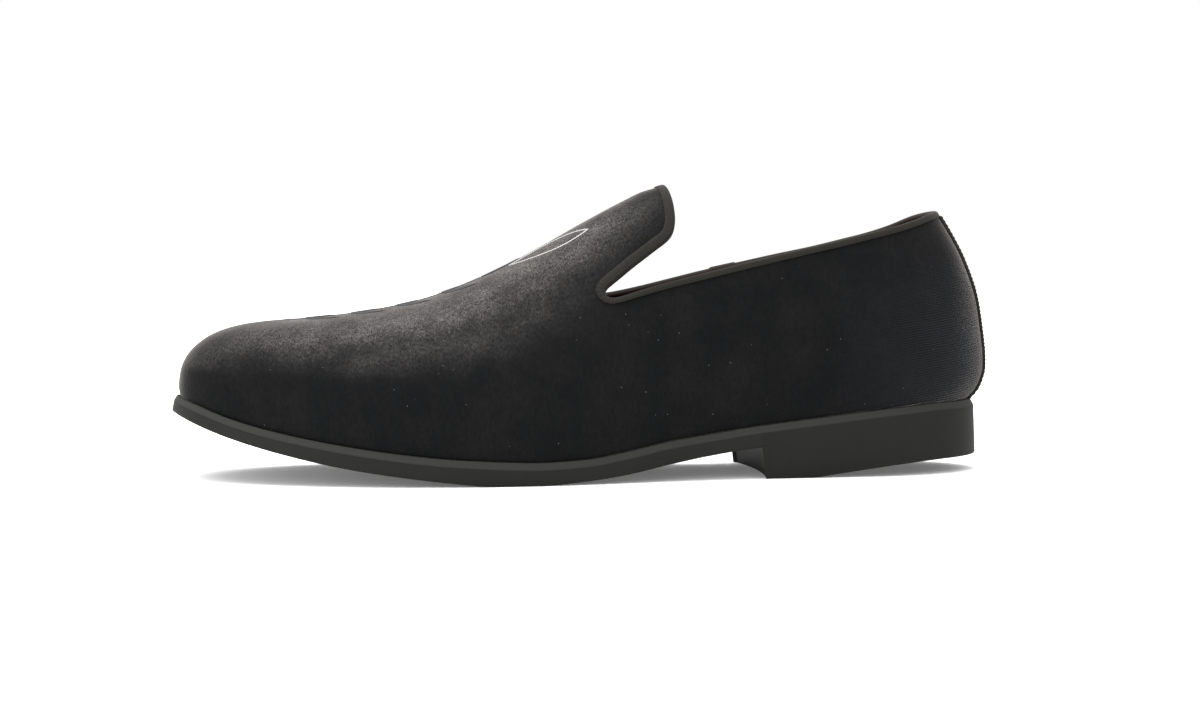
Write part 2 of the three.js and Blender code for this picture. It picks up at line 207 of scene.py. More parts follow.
@dataclass
class Last:
    """The foot form that the shoe is built on, with the sizes and tables of the solid model."""

    sole_length: float = 297.0
    ball_width: float = 104.0
    tongue_height: float = 105.3
    seat_height: float = 26.2
    full_swell: float = 7.4
    lasting_inset: float = 2.6
    toe_pole: float = 0.151
    heel_pole: float = 0.86
    edge: tuple[tuple[float, float], ...] = (
        (0.000, 0.035), (0.010, -0.110), (0.035, -0.210), (0.090, -0.318),
        (0.165, -0.411), (0.250, -0.472), (0.330, -0.497), (0.400, -0.500),
        (0.475, -0.474), (0.560, -0.422), (0.640, -0.374), (0.720, -0.345),
        (0.805, -0.333), (0.885, -0.312), (0.955, -0.222), (0.990, -0.105),
        (1.000, 0.000), (0.990, 0.112), (0.955, 0.228), (0.885, 0.307),
        (0.805, 0.304), (0.720, 0.279), (0.640, 0.262), (0.560, 0.285),
        (0.475, 0.350), (0.400, 0.420), (0.330, 0.460), (0.250, 0.466),
        (0.165, 0.430), (0.090, 0.362), (0.035, 0.268), (0.010, 0.176),
    )
    levels: Table = Table(
        ("along", "top", "underside"),
        (
            (0.000, 1.156, 0.912), (0.030, 1.031, 0.763), (0.065, 0.882, 0.618),
            (0.115, 0.729, 0.454), (0.190, 0.561, 0.263), (0.250, 0.458, 0.153),
            (0.320, 0.370, 0.053), (0.375, 0.332, 0.000), (0.430, 0.309, 0.000),
            (0.485, 0.336, 0.042), (0.535, 0.420, 0.111), (0.590, 0.546, 0.233),
            (0.640, 0.626, 0.332), (0.690, 0.706, 0.412), (0.745, 0.779, 0.477),
            (0.800, 0.851, 0.550), (0.880, 0.947, 0.641), (0.945, 0.996, 0.687),
            (1.000, 1.000, 0.695),
        ),
    )
    tread: Table = Table(
        ("along", "height"),
        (
            (0.712, 0.000), (0.768, 0.000), (0.800, 0.042), (0.835, 0.095),
            (0.880, 0.156), (0.940, 0.206), (1.000, 0.221),
        ),
    )
    form: Table = Table(
        ("along", "ridge", "ridge side", "round outer", "round inner", "lean",
         "swell outer", "swell inner"),
        (
            (0.000, 0.530, 0.038, 2.90, 2.90, 0.00, 0.108, 0.108),
            (0.085, 0.534, 0.038, 3.00, 3.00, 0.00, 0.135, 0.135),
            (0.151, 0.542, 0.038, 2.80, 2.80, 0.00, 0.189, 0.189),
            (0.205, 0.556, 0.038, 2.65, 2.60, 0.00, 0.243, 0.216),
            (0.258, 0.578, 0.038, 2.50, 2.45, 0.00, 0.297, 0.243),
            (0.307, 0.609, 0.038, 2.40, 2.30, 0.00, 0.338, 0.270),
            (0.355, 0.656, 0.038, 2.30, 2.20, 0.00, 0.351, 0.297),
            (0.406, 0.720, 0.033, 2.20, 2.15, 0.00, 0.378, 0.378),
            (0.456, 0.795, 0.028, 2.15, 2.10, 0.00, 0.405, 0.541),
            (0.506, 0.875, 0.020, 2.10, 2.10, 0.00, 0.432, 0.703),
            (0.556, 0.950, 0.010, 2.15, 2.15, 0.00, 0.473, 0.811),
            (0.580, 0.982, 0.005, 2.20, 2.20, 0.00, 0.486, 0.838),
            (0.604, 1.000, 0.000, 2.25, 2.25, 0.01, 0.514, 0.851),
            (0.640, 1.030, -0.005, 2.40, 2.40, 0.02, 0.541, 0.838),
            (0.700, 1.070, -0.010, 2.70, 2.70, 0.04, 0.568, 0.757),
            (0.780, 1.115, -0.008, 2.80, 2.80, 0.06, 0.608, 0.676),
            (0.860, 1.155, 0.000, 2.60, 2.60, 0.11, 0.716, 0.730),
            (1.000, 1.160, 0.000, 2.30, 2.30, 0.168, 1.000, 1.000),
        ),
    )
    swell_shape: Table = Table(
        ("height", "swell"),
        (
            (0.00, 0.00), (0.04, 0.50), (0.08, 0.77), (0.12, 0.93), (0.20, 1.00), (0.36, 1.00),
            (0.54, 0.71), (0.62, 0.46), (0.69, 0.22), (0.74, 0.05), (0.80, 0.00), (1.00, 0.00),
        ),
    )
    samples: int = 40
    edge_curve: Array = field(init=False)

    def __post_init__(self) -> None:
        """Draws the sole's edge as a closed curve through its knots."""
        knots = np.array(self.edge) * (self.sole_length, self.ball_width)
        self.edge_curve = curve(np.vstack([knots[-1:], knots, knots[:2]]), self.samples, 0.5)

    def sole_top(self, along: Array | float) -> Array:
        """Height of the sole's top at a place along the shoe."""
        return self.seat_height * self.levels.at("top", np.asarray(along) / self.sole_length)

    def underside(self, along: Array | float) -> Array:
        """Height of the sole's underside ahead of the heel."""
        return self.seat_height * self.levels.at("underside", np.asarray(along) / self.sole_length)

    def heel_tread(self, along: Array | float) -> Array:
        """Height of the heel's tread."""
        return self.seat_height * self.tread.at("height", np.asarray(along) / self.sole_length)

    def ridge_height(self, along: Array | float) -> Array:
        """Height of the form's top line."""
        return self.tongue_height * self.form.at("ridge", np.asarray(along) / self.sole_length)

    def ridge_side(self, along: Array | float) -> Array:
        """How far the form's top line stands to the inner side."""
        return self.ball_width * self.form.at("ridge side", np.asarray(along) / self.sole_length)

    def reach(self, start: Array, direction: Array) -> float:
        """Distance from a point inside the sole's edge to that edge.

        Args:
            start: along and side of the point.
            direction: a unit vector in plan.

        Returns:
            The distance in that direction.
        """
        a = self.edge_curve
        run = np.roll(a, -1, axis=0) - a
        gap = a - start
        cross = direction[0] * run[:, 1] - direction[1] * run[:, 0]
        cross = np.where(np.abs(cross) < TINY, TINY, cross)
        distance = (gap[:, 0] * run[:, 1] - gap[:, 1] * run[:, 0]) / cross
        share = (gap[:, 0] * direction[1] - gap[:, 1] * direction[0]) / cross
        hits = distance[(distance > 0) & (share >= 0) & (share <= 1)]
        return float(hits.min())

    def spokes(self, fan: int, stations: Array) -> Spokes:
        """Lays spokes round the shoe: fans about the two poles and straight stations between.

        Args:
            fan: steps in each quarter turn.
            stations: shares of the way from the toe pole to the heel pole, from 0 to 1.

        Returns:
            The spokes, with the first one repeated at the end.
        """
        toe, heel = self.toe_pole * self.sole_length, self.heel_pole * self.sole_length
        right = math.pi / 2
        turns: list[tuple[float, float]] = []
        turns += [(toe, 2 * right + right * i / fan) for i in range(fan)]
        turns += [(toe + (heel - toe) * s, 3 * right) for s in stations[:-1]]
        turns += [(heel, 3 * right + right * i / fan) for i in range(2 * fan)]
        turns += [(toe + (heel - toe) * s, right) for s in stations[:0:-1]]
        turns += [(toe, right + right * i / fan) for i in range(fan)]
        turns.append(turns[0])
        start = np.array([(a, float(self.ridge_side(a))) for a, _ in turns])
        direction = np.array([(math.cos(t), math.sin(t)) for _, t in turns])
        reach = np.array([self.reach(p, d) for p, d in zip(start, direction)])
        return Spokes(start, direction, reach)

    def wall(self, spokes: Spokes, share: float, inset: float = 0.0) -> Array:
        """Points of the form's wall on every spoke.

        Args:
            spokes: the lines round the shoe.
            share: 0 at the sole's edge and 1 at the ridge.
            inset: how far the wall is drawn in.

        Returns:
            An array of along, side and up.
        """
        reach = spokes.reach - self.lasting_inset - inset
        foot_along, _ = spokes.place(reach)
        key = foot_along / self.sole_length
        outer = spokes.direction[:, 1] < 0
        roundness = np.where(outer, self.form.at("round outer", key), self.form.at("round inner", key))
        swell = self.full_swell * np.where(
            outer, self.form.at("swell outer", key), self.form.at("swell inner", key))
        turn = share * math.pi / 2
        c, s = max(math.cos(turn), 0.0), math.sin(turn)
        norm = (c ** roundness + s ** roundness) ** (1 / roundness)
        out = c / norm if share < 1 else 0 * norm
        up = s / norm if share < 1 else 0 * norm + 1
        drawn_in = 1 - self.form.at("lean", key) * up
        distance = reach * out * drawn_in + swell * self.swell_shape.at("swell", up)
        along, side = spokes.place(distance)
        foot = self.sole_top(foot_along)
        return np.stack([along, side, foot + (self.ridge_height(along) - inset - foot) * up], axis=1)


@dataclass
class Topline:
    """The edge of the collar, throat and tongue, as two side views joined across the foot."""

    last: Last
    half_share: float = 0.29
    past_share: float = 0.2
    cut_far: float = 1.4
    cut_high: float = 1.5
    samples: int = 12
    rows: Table = Table(
        ("along", "outer", "inner", "ribbon"),
        (
            (0.9529, 0.9150, 0.9150, 1.0), (0.9327, 0.9105, 0.8880, 1.0), (0.9091, 0.8915, 0.8547, 1.0),
            (0.8822, 0.8690, 0.8290, 1.0), (0.8485, 0.8452, 0.8053, 1.0), (0.8081, 0.8177, 0.7787, 1.0),
            (0.7609, 0.7882, 0.7521, 1.0), (0.7138, 0.7578, 0.7236, 1.0), (0.6667, 0.7265, 0.6952, 1.0),
            (0.6263, 0.6990, 0.6676, 1.0), (0.5859, 0.6714, 0.6401, 1.0), (0.5556, 0.6477, 0.6230, 1.0),
            (0.5340, 0.6296, 0.6154, 0.98), (0.5215, 0.6239, 0.6135, 1.0), (0.5141, 0.6372, 0.6277, 1.22),
            (0.5178, 0.6581, 0.6505, 1.38), (0.5320, 0.6885, 0.6838, 1.43), (0.5556, 0.7388, 0.7369, 1.43),
            (0.5791, 0.7854, 0.7854, 1.43), (0.6000, 0.8281, 0.8281, 1.40), (0.6071, 0.8784, 0.8784, 1.37),
            (0.6081, 0.9402, 0.9402, 1.33), (0.6061, 1.0114, 1.0114, 1.30),
        ),
    )

    def side_view(self, name: str) -> Array:
        """The closed outline of what is cut away, in one side view.

        Args:
            name: the column of heights, outer or inner.

        Returns:
            Points of along and up.
        """
        size = (self.last.sole_length, self.last.tongue_height)
        column = self.rows.names.index(name)
        knots = np.array([(row[0], row[column]) for row in self.rows.rows]) * size
        ends = np.vstack([2 * knots[0] - knots[1], knots, 2 * knots[-1] - knots[-2]])
        drawn = np.vstack([curve(ends, self.samples, 0.0), knots[-1:]])
        far, high = self.cut_far * size[0], self.cut_high * size[1]
        return np.vstack([[(far, drawn[0, 1])], drawn, [(drawn[-1, 0], high), (far, high)]])

    def ribbon_share(self, points: Array) -> Array:
        """Width of the ribbon at places on the topline, as a share of its width at the collar.

        Args:
            points: along, side and up.

        Returns:
            One share for each point.
        """
        knots = np.array([(row[0], (row[1] + row[2]) / 2) for row in self.rows.rows])
        knots *= (self.last.sole_length, self.last.tongue_height)
        shares = np.array([row[3] for row in self.rows.rows])
        best, width = np.full(len(points), np.inf), np.ones(len(points))
        for p, q, a, b in zip(knots[:-1], knots[1:], shares[:-1], shares[1:]):
            run = q - p
            t = np.clip(((points[:, (0, 2)] - p) @ run) / (run @ run), 0, 1)
            gap = np.linalg.norm(points[:, (0, 2)] - p - t[:, None] * run, axis=1)
            width = np.where(gap < best, a + t * (b - a), width)
            best = np.minimum(best, gap)
        return width

    @staticmethod
    def signed(outline: Array, spots: Array) -> Array:
        """Distance to an outline, positive inside it.

        Args:
            outline: the closed outline.
            spots: points of along and up.

        Returns:
            One distance for each spot.
        """
        a, b = outline, np.roll(outline, -1, axis=0)
        best = np.full(len(spots), np.inf)
        inside = np.zeros(len(spots), bool)
        for p, q in zip(a, b):
            run = q - p
            t = np.clip(((spots - p) @ run) / max(run @ run, TINY), 0, 1)
            best = np.minimum(best, np.linalg.norm(spots - p - t[:, None] * run, axis=1))
            crosses = (p[1] > spots[:, 1]) != (q[1] > spots[:, 1])
            lift = np.where(crosses, (spots[:, 1] - p[1]) / (run[1] or TINY), 0)
            inside ^= crosses & (spots[:, 0] < p[0] + lift * run[0])
        return np.where(inside, best, -best)

    def above(self, points: Array) -> Array:
        """How far points of the wall stand past the topline.

        Args:
            points: along, side and up.

        Returns:
            Distances, positive where the cloth is cut away.
        """
        half = self.last.ball_width * self.half_share
        share = np.clip((points[:, 1] + half) / (2 * half), -self.past_share, 1 + self.past_share)
        spots = points[:, (0, 2)]
        outer = self.signed(self.side_view("outer"), spots)
        inner = self.signed(self.side_view("inner"), spots)
        return (1 - share) * outer + share * inner


def to_frame(points: Array) -> Array:
    """Turns along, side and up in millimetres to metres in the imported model's frame."""
    return (points - SHOE_ORIGIN) * MM


def from_frame(points: Array) -> Array:
    """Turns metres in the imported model's frame to along, side and up in millimetres."""
    return points / MM + SHOE_ORIGIN


def select_only(*pieces: Object) -> None:
    """Selects these pieces and nothing else, so that an operator acts on them alone.

    Args:
        pieces: what to select, the active one first; with none given, nothing stays selected.
    """
    if bpy.context.object and bpy.context.object.mode != "OBJECT":
        bpy.ops.object.mode_set(mode="OBJECT")
    bpy.ops.object.select_all(action="DESELECT")
    for piece in pieces:
        piece.select_set(True)
    if pieces:
        bpy.context.view_layer.objects.active = pieces[0]


def joined(parts: Sequence[Object]) -> Object:
    """Joins pieces into the first one.

    Args:
        parts: the pieces.

    Returns:
        The joined piece.
    """
    select_only(*parts)
    bpy.ops.object.join()
    return bpy.context.object


def turn_out() -> None:
    """Turns every face of the mesh that is being edited outward."""
    bpy.ops.mesh.select_all(action="SELECT")
    bpy.ops.mesh.normals_make_consistent(inside=False)


def apply_modifier(piece: Object, kind: str, **settings: object) -> None:
    """Adds a modifier with its settings and applies it.

    Args:
        piece: the mesh that it works on.
        kind: the modifier's type.
        settings: its properties.
    """
    select_only(piece)
    modifier = piece.modifiers.new(kind.title(), kind)
    for name, value in settings.items():
        setattr(modifier, name, value)
    bpy.ops.object.modifier_apply(modifier=modifier.name)


def laid_grid(
    name: str, places: Array, cloth: Array, outward: bool = True
) -> Object:
    """Lays a grid primitive over a surface and joins the edges that meet.

    Args:
        name: the piece's name.
        places: rows by columns of along, side and up in millimetres.
        cloth: rows by columns of the flat cloth's two lengths in millimetres, for its weave.
        outward: whether the piece is closed and its faces are turned out.

    Returns:
        The piece, with its place in its mesh.
    """
    select_only()
    rows, columns = places.shape[:2]
    bpy.ops.mesh.primitive_grid_add(
        x_subdivisions=columns - 1, y_subdivisions=rows - 1, size=2, calc_uvs=True)
    piece = bpy.context.object
    piece.name = piece.data.name = name
    mesh = piece.data
    start = np.empty(len(mesh.vertices) * 3)
    mesh.vertices.foreach_get("co", start)
    start = (start.reshape(-1, 3) + 1) / 2
    i = np.rint(start[:, 1] * (rows - 1)).astype(int)
    j = np.rint(start[:, 0] * (columns - 1)).astype(int)
    mesh.vertices.foreach_set("co", to_frame(places[i, j]).ravel())
    corner = np.empty(len(mesh.loops), dtype=np.int32)
    mesh.loops.foreach_get("vertex_index", corner)
    mesh.uv_layers[0].name = CLOTH_MAP
    mesh.uv_layers[0].data.foreach_set("uv", (cloth[i, j] * MM)[corner].ravel())
    bpy.ops.object.mode_set(mode="EDIT")
    bpy.ops.mesh.select_all(action="SELECT")
    bpy.ops.mesh.remove_doubles(threshold=JOIN_GAP)
    bpy.ops.mesh.dissolve_degenerate(threshold=LEAST_EDGE)
    if outward:
        turn_out()
    bpy.ops.object.mode_set(mode="OBJECT")
    bpy.ops.object.shade_smooth()
    return piece


def swept(
    name: str,
    centres: Array,
    up: Array,
    across: Array,
    ring: Array,
    closed: bool,
) -> Object:
    """Sweeps a changing ring along a path.

    Args:
        name: the piece's name.
        centres: the path's points.
        up: the direction away from the cloth at each point.
        across: the direction across the path at each point.
        ring: for each point, the ring's across and up offsets.
        closed: whether the path ends where it starts.

    Returns:
        The swept piece.
    """
    loop = np.concatenate([ring, ring[:, :1]], axis=1)
    places = centres[:, None] + loop[..., :1] * across[:, None] + loop[..., 1:] * up[:, None]
    run = travelled(centres)
    girth = travelled(loop[len(loop) // 2])
    if closed:
        gap = np.linalg.norm(centres[-1] - centres[0])
        places = np.concatenate([places, places[:1]])
        run = np.append(run, run[-1] + gap)
    else:
        places = capped(places)
        run = np.concatenate([run[:1], run, run[-1:]])
    cloth = np.stack(np.meshgrid(run, girth, indexing="ij"), axis=-1)
    return laid_grid(name, places, cloth)


def travelled(points: Array) -> Array:
    """Length along a line of points, up to each of them."""
    return np.concatenate([[0], np.cumsum(np.linalg.norm(np.diff(points, axis=0), axis=1))])


def capped(places: Array) -> Array:
    """Closes the two ends of a tube.

    Args:
        places: the tube's rings, one to a row.

    Returns:
        The rings, with a row before and after that draws each end to its middle.
    """
    ends = [np.repeat(end.mean(axis=1, keepdims=True), places.shape[1], axis=1)
            for end in (places[:1], places[-1:])]
    return np.concatenate([ends[0], places, ends[1]])


def smoothed(values: Array, passes: int) -> Array:
    """Evens out a closed run of points.

    Args:
        values: one row for each point.
        passes: how many times each is drawn toward its neighbours.

    Returns:
        The evened rows.
    """
    for _ in range(passes):
        values = 0.5 * values + 0.25 * (np.roll(values, 1, axis=0) + np.roll(values, -1, axis=0))
    return values


def unit(rows: Array) -> Array:
    """Draws each row's direction to a length of one."""
    return rows / np.linalg.norm(rows, axis=1, keepdims=True)


def finish_piece(
    piece: Object,
    materials: Sequence[Material],
    replaces: Sequence[str] = (),
) -> Object:
    """Dresses a piece and sets it on the shoe.

    Args:
        piece: the finished mesh.
        materials: its materials in order, or none where it has them already.
        replaces: the plain solids that it stands for.

    Returns:
        The piece.
    """
    if materials:
        piece.data.materials.clear()
    for material in materials:
        piece.data.materials.append(material)
    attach(piece, BODY)
    if replaces:
        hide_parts(*replaces)
    return piece


@dataclass(frozen=True)
class Ramp:
    """A soft step in a pattern, from its floor at one value to one at another."""

    start: float
    end: float
    floor: float = 0.0

    def over(self, value: object) -> dict[str, object]:
        """The sockets of a Map Range node that lays the step over a value."""
        return {"Value": value, "From Min": self.start, "From Max": self.end, "To Min": self.floor}


@dataclass(frozen=True)
class Finish:
    """What every finish shares: its name and the way that its material is put together."""

    name: str

    def surface(self, tree: NodeTree) -> dict[str, object]:
        """Draws the pattern of the finish, and each kind of finish has its own.

        Args:
            tree: the material's node tree.

        Returns:
            What each socket of the surface shader gets: a value, an output or a node.
        """
        raise NotImplementedError

    def make(self) -> Material:
        """Builds the material, with the pattern on one surface shader.

        Returns:
            The material.
        """
        material = bpy.data.materials.new(self.name)
        material.use_nodes = True
        tree = material.node_tree
        tree.nodes.clear()
        shader = add_node(tree, "BsdfPrincipled", self.surface(tree))
        add_node(tree, "OutputMaterial", {"Surface": shader})
        return material


@dataclass(frozen=True)
class Velvet(Finish):
    """Cotton velvet: a cut pile that is dark face on and shines where it is seen along its fibres.

    Ramps along and up the shoe are in metres of the frame, and upward and ridge go by the normal.
    """

    name: str = "black_cotton_velvet"
    deep: str = "#08090a"
    ruffled: str = "#101011"
    # Painted sheen: the two colours below stand for the light that the upward faces of the vamp catch from
    # above.
    painted_sheen_dark: str = "#262525"
    painted_sheen_light: str = "#686461"
    rib: str = "#1f2225"
    lint: str = "#626465"
    sheen_tint: str = "#c9c3c0"
    nap_mm: float = 1.3
    nap_stretch: float = 0.55
    fibre_mm: float = 0.42
    fibre_stretch: tuple[float, float, float] = (1, 0.5, 0.3)
    cloud_mm: float = 14.0
    lint_spacing_mm: float = 4.6
    lint_mm: float = 0.15
    rib_pitch_mm: float = 0.9
    rib_tilt_degrees: float = 8.0
    rib_show: float = 0.75
    relief_mm: float = 0.3
    pile: Ramp = Ramp(0.16, 0.38)
    tips: Ramp = Ramp(0.28, 0.78)
    tufts: Ramp = Ramp(0.14, 0.40, 0.3)
    upward: Ramp = Ramp(0.22, 0.5)
    ridge: Ramp = Ramp(0.9, 0.5)
    vamp: Ramp = Ramp(0.037, 0.0)
    toe: Ramp = Ramp(-0.142, -0.098, 0.3)
    heel_front: Ramp = Ramp(0.085, 0.135)
    heel_top: Ramp = Ramp(0.085, 0.055)

    def surface(self, tree: NodeTree) -> dict[str, object]:
        """Draws the pile's clouded colour, its nap, a painted sheen on its upward faces and the ribs of
        its weave at the heel.

        Args:
            tree: the material's node tree.

        Returns:
            What each socket of the surface shader gets: a value, an output or a node.
        """
        node = partial(add_node, tree)
        place = node("TexCoord").outputs["Object"]
        where = node("SeparateXYZ", {0: place}).outputs
        normal = node("NewGeometry").outputs["Normal"]
        facing = node("SeparateXYZ", {0: normal}).outputs
        # The nap lies in short streaks that run down the sides of the shoe.
        streaks = node("Mapping", {"Vector": place, "Scale": (1, 1, self.nap_stretch)})
        nap = node("TexNoise", {
            "Vector": streaks, "Scale": 1 / (self.nap_mm * MM), "Detail": 4.0, "Roughness": 0.6})
        # Real fibres are a fiftieth of a millimetre thick: they are drawn as tufts, to show at all.
        strands = node("Mapping", {"Vector": place, "Scale": self.fibre_stretch})
        fibre = node("TexNoise", {
            "Vector": strands, "Scale": 1 / (self.fibre_mm * MM), "Detail": 1.0})
        cloud = node("TexNoise", {
            "Vector": place, "Scale": 1 / (self.cloud_mm * MM), "Detail": 2.0})
        ruffled = node("Math", {0: nap, 1: cloud}, operation="MULTIPLY")
        pile = node("Mix", {
            SHARE: node("MapRange", self.pile.over(ruffled)),
            UNDER: self.deep, OVER: self.ruffled}, data_type="RGBA")
        # The painted sheen, grained by the fibres.
        raised = node("Mix", {
            SHARE: node("MapRange", self.tips.over(fibre)),
            UNDER: self.painted_sheen_dark, OVER: self.painted_sheen_light}, data_type="RGBA")
        # Painted sheen: on the upward faces of the vamp and the tongue the pile is painted greyer, in
        # patches, for the light from above that it catches there; less of it is painted at the toe.
        sideways = node("Math", {0: facing["Y"]}, operation="ABSOLUTE")
        sheen_share = node("MapRange", self.tufts.over(ruffled))
        for ramp, value, blend in (
            (self.upward, facing["Z"], "SMOOTHSTEP"),
            (self.ridge, sideways, "SMOOTHSTEP"),
            (self.vamp, where["X"], "SMOOTHSTEP"),
            (self.toe, where["X"], "LINEAR"),
        ):
            mask = node("MapRange", ramp.over(value), interpolation_type=blend)
            sheen_share = node("Math", {0: sheen_share, 1: mask}, operation="MULTIPLY")
        pile_and_sheen = node("Mix", {SHARE: sheen_share, UNDER: pile, OVER: raised}, data_type="RGBA")
        # Ribs of the ground weave show through the flattened pile on the heel. The real ones are
        # less than half a millimetre apart: they are drawn at twice that to show.
        tilt = node("Mapping", {
            "Vector": place, "Rotation": (0, math.radians(self.rib_tilt_degrees), 0)})
        ribs = node("TexWave", {
            "Vector": tilt, "Scale": WAVE_LENGTH / (self.rib_pitch_mm * MM),
            "Distortion": 0.8, "Detail": 1.0, "Detail Scale": 400.0}, bands_direction="Z")
        worn = ribs.outputs["Fac"]
        for ramp, value in ((self.heel_front, where["X"]), (self.heel_top, where["Z"])):
            mask = node("MapRange", ramp.over(value))
            worn = node("Math", {0: worn, 1: mask}, operation="MULTIPLY")
        faint = node("Math", {0: worn, 1: self.rib_show}, operation="MULTIPLY")
        cloth = node("Mix", {SHARE: faint, UNDER: pile_and_sheen, OVER: self.rib}, data_type="RGBA")
        # A few specks of lint lie on the pile.
        specks = node("TexVoronoi", {"Vector": place, "Scale": 1 / (self.lint_spacing_mm * MM)})
        speck = node("Math", {
            0: specks, 1: self.lint_mm / self.lint_spacing_mm}, operation="LESS_THAN")
        dusty = node("Mix", {SHARE: speck, UNDER: cloth, OVER: self.lint}, data_type="RGBA")
        grain = node("Math", {0: nap, 1: fibre}, operation="ADD")
        relief = node("Bump", {"Height": grain, "Strength": 0.3, "Distance": self.relief_mm * MM})
        ribbed = node("Bump", {
            "Height": worn, "Strength": 0.5, "Distance": self.relief_mm * MM, "Normal": relief})
        return {
            "Base Color": dusty, "Normal": ribbed, "Roughness": 0.95, "Specular IOR Level": 0.12,
            "Sheen Weight": 0.5, "Sheen Roughness": 0.25, "Sheen Tint": self.sheen_tint}


@dataclass(frozen=True)
class Grosgrain(Finish):
    """Grosgrain ribbon: close matt ribs across its length, a little lighter and browner on top."""

    name: str = "grosgrain_ribbon"
    ground: str = "#1c1b18"
    worn: str = "#2a2823"
    # Painted shade, tinted red by the lining's light, on the inner half of the ribbon.
    painted_inner_shade: str = "#241a16"
    rib_pitch_mm: float = 0.95
    mottle_mm: float = 3.5
    relief_mm: float = 0.22
    inner_half: Ramp = Ramp(5.6 * MM, 6.4 * MM)

    def surface(self, tree: NodeTree) -> dict[str, object]:
        """Draws the ribs along the ribbon's own length.

        Args:
            tree: the material's node tree.

        Returns:
            What each socket of the surface shader gets: a value, an output or a node.
        """
        node = partial(add_node, tree)
        cloth = node("UVMap", uv_map=CLOTH_MAP).outputs["UV"]
        # Real ribs are half a millimetre apart: they are drawn at twice that to show.
        ribs = node("TexWave", {
            "Vector": cloth, "Scale": WAVE_LENGTH / (self.rib_pitch_mm * MM),
            "Distortion": 1.8}, bands_direction="X")
        mottle = node("TexNoise", {
            "Vector": cloth, "Scale": 1 / (self.mottle_mm * MM), "Detail": 3.0})
        shade = node("Math", {0: ribs.outputs["Fac"], 1: mottle}, operation="MULTIPLY")
        colour = node("Mix", {SHARE: shade, UNDER: self.ground, OVER: self.worn}, data_type="RGBA")
        # Painted shade: the half that is folded to the inside is painted red-brown, for the shade there
        # and the red light that the lining beside it throws on it.
        girth = node("SeparateXYZ", {0: cloth}).outputs["Y"]
        both = node("Mix", {
            SHARE: node("MapRange", self.inner_half.over(girth)),
            UNDER: colour, OVER: self.painted_inner_shade}, data_type="RGBA")
        relief = node("Bump", {"Height": shade, "Strength": 0.2, "Distance": self.relief_mm * MM})
        return {
            "Base Color": both, "Normal": relief, "Roughness": 0.8, "Specular IOR Level": 0.1,
            "Sheen Weight": 0.06, "Sheen Roughness": 0.4}


@dataclass(frozen=True)
class LiningLeather(Finish):
    """Dyed lining leather: thin, smooth and softly shining, with fine pores."""

    name: str = "red_lining_leather"
    ground: str = "#6a0d16"
    shade: str = "#4a0a10"
    dye_mm: float = 11.11
    pore_mm: float = 0.9
    relief_mm: float = 0.2

    def surface(self, tree: NodeTree) -> dict[str, object]:
        """Draws the leather's clouded dye and its pores.

        Args:
            tree: the material's node tree.

        Returns:
            What each socket of the surface shader gets: a value, an output or a node.
        """
        node = partial(add_node, tree)
        place = node("TexCoord").outputs["Object"]
        dye = node("TexNoise", {"Vector": place, "Scale": 1 / (self.dye_mm * MM), "Detail": 3.0})
        # Real pores are a fifth of a millimetre apart: they are drawn coarser to show.
        pores = node("TexVoronoi", {"Vector": place, "Scale": 1 / (self.pore_mm * MM)})
        colour = node("Mix", {SHARE: dye, UNDER: self.shade, OVER: self.ground}, data_type="RGBA")
        relief = node("Bump", {"Height": pores, "Strength": 0.25, "Distance": self.relief_mm * MM})
        return {"Base Color": colour, "Normal": relief, "Roughness": 0.55}


@dataclass(frozen=True)
class MouldedRubber(Finish):
    """Injection moulded rubber: matt, even, with a faint grain from its mould."""

    name: str = "moulded_rubber"
    ground: str = "#181917"
    dusty: str = "#1d1e1b"
    # Painted highlight on the bevel of the lip, which faces up to the light.
    painted_bevel_light: str = "#2d2e2b"
    grain_mm: float = 0.5
    grain_relief_mm: float = 0.2
    cloud_mm: float = 26.0
    tread_pitch_mm: float = 1.65
    tread_relief_mm: float = 0.6
    bevel: Ramp = Ramp(0.12, 0.42)
    tread_facing: float = -0.7

    def surface(self, tree: NodeTree) -> dict[str, object]:
        """Draws the mould's grain, a painted highlight on the bevel of the lip, and fine ribs on the face
        that meets the floor.

        Args:
            tree: the material's node tree.

        Returns:
            What each socket of the surface shader gets: a value, an output or a node.
        """
        node = partial(add_node, tree)
        place = node("TexCoord").outputs["Object"]
        cloud = node("TexNoise", {
            "Vector": place, "Scale": 1 / (self.cloud_mm * MM), "Detail": 4.0})
        # The mould's grit is finer than a tenth of a millimetre: it is drawn coarser to show.
        grain = node("TexNoise", {
            "Vector": place, "Scale": 1 / (self.grain_mm * MM), "Detail": 2.0})
        colour = node("Mix", {SHARE: cloud, UNDER: self.ground, OVER: self.dusty}, data_type="RGBA")
        normal = node("NewGeometry").outputs["True Normal"]
        facing = node("SeparateXYZ", {0: normal}).outputs["Z"]
        # Painted highlight: the bevel of the lip faces up and is painted lighter, for the light that falls
        # on it from above.
        bevel_lit = node("Mix", {
            SHARE: node("MapRange", self.bevel.over(facing)),
            UNDER: colour, OVER: self.painted_bevel_light}, data_type="RGBA")
        below = node("Math", {0: facing, 1: self.tread_facing}, operation="LESS_THAN")
        ribs = node("TexWave", {
            "Vector": place, "Scale": WAVE_LENGTH / (self.tread_pitch_mm * MM)}, bands_direction="X")
        tread = node("Math", {0: ribs.outputs["Fac"], 1: below}, operation="MULTIPLY")
        fine = node("Bump", {
            "Height": grain, "Strength": 0.12, "Distance": self.grain_relief_mm * MM})
        relief = node("Bump", {
            "Height": tread, "Strength": 0.5, "Distance": self.tread_relief_mm * MM,
            "Normal": fine})
        return {
            "Base Color": bevel_lit, "Normal": relief, "Roughness": 0.65, "Specular IOR Level": 0.1}


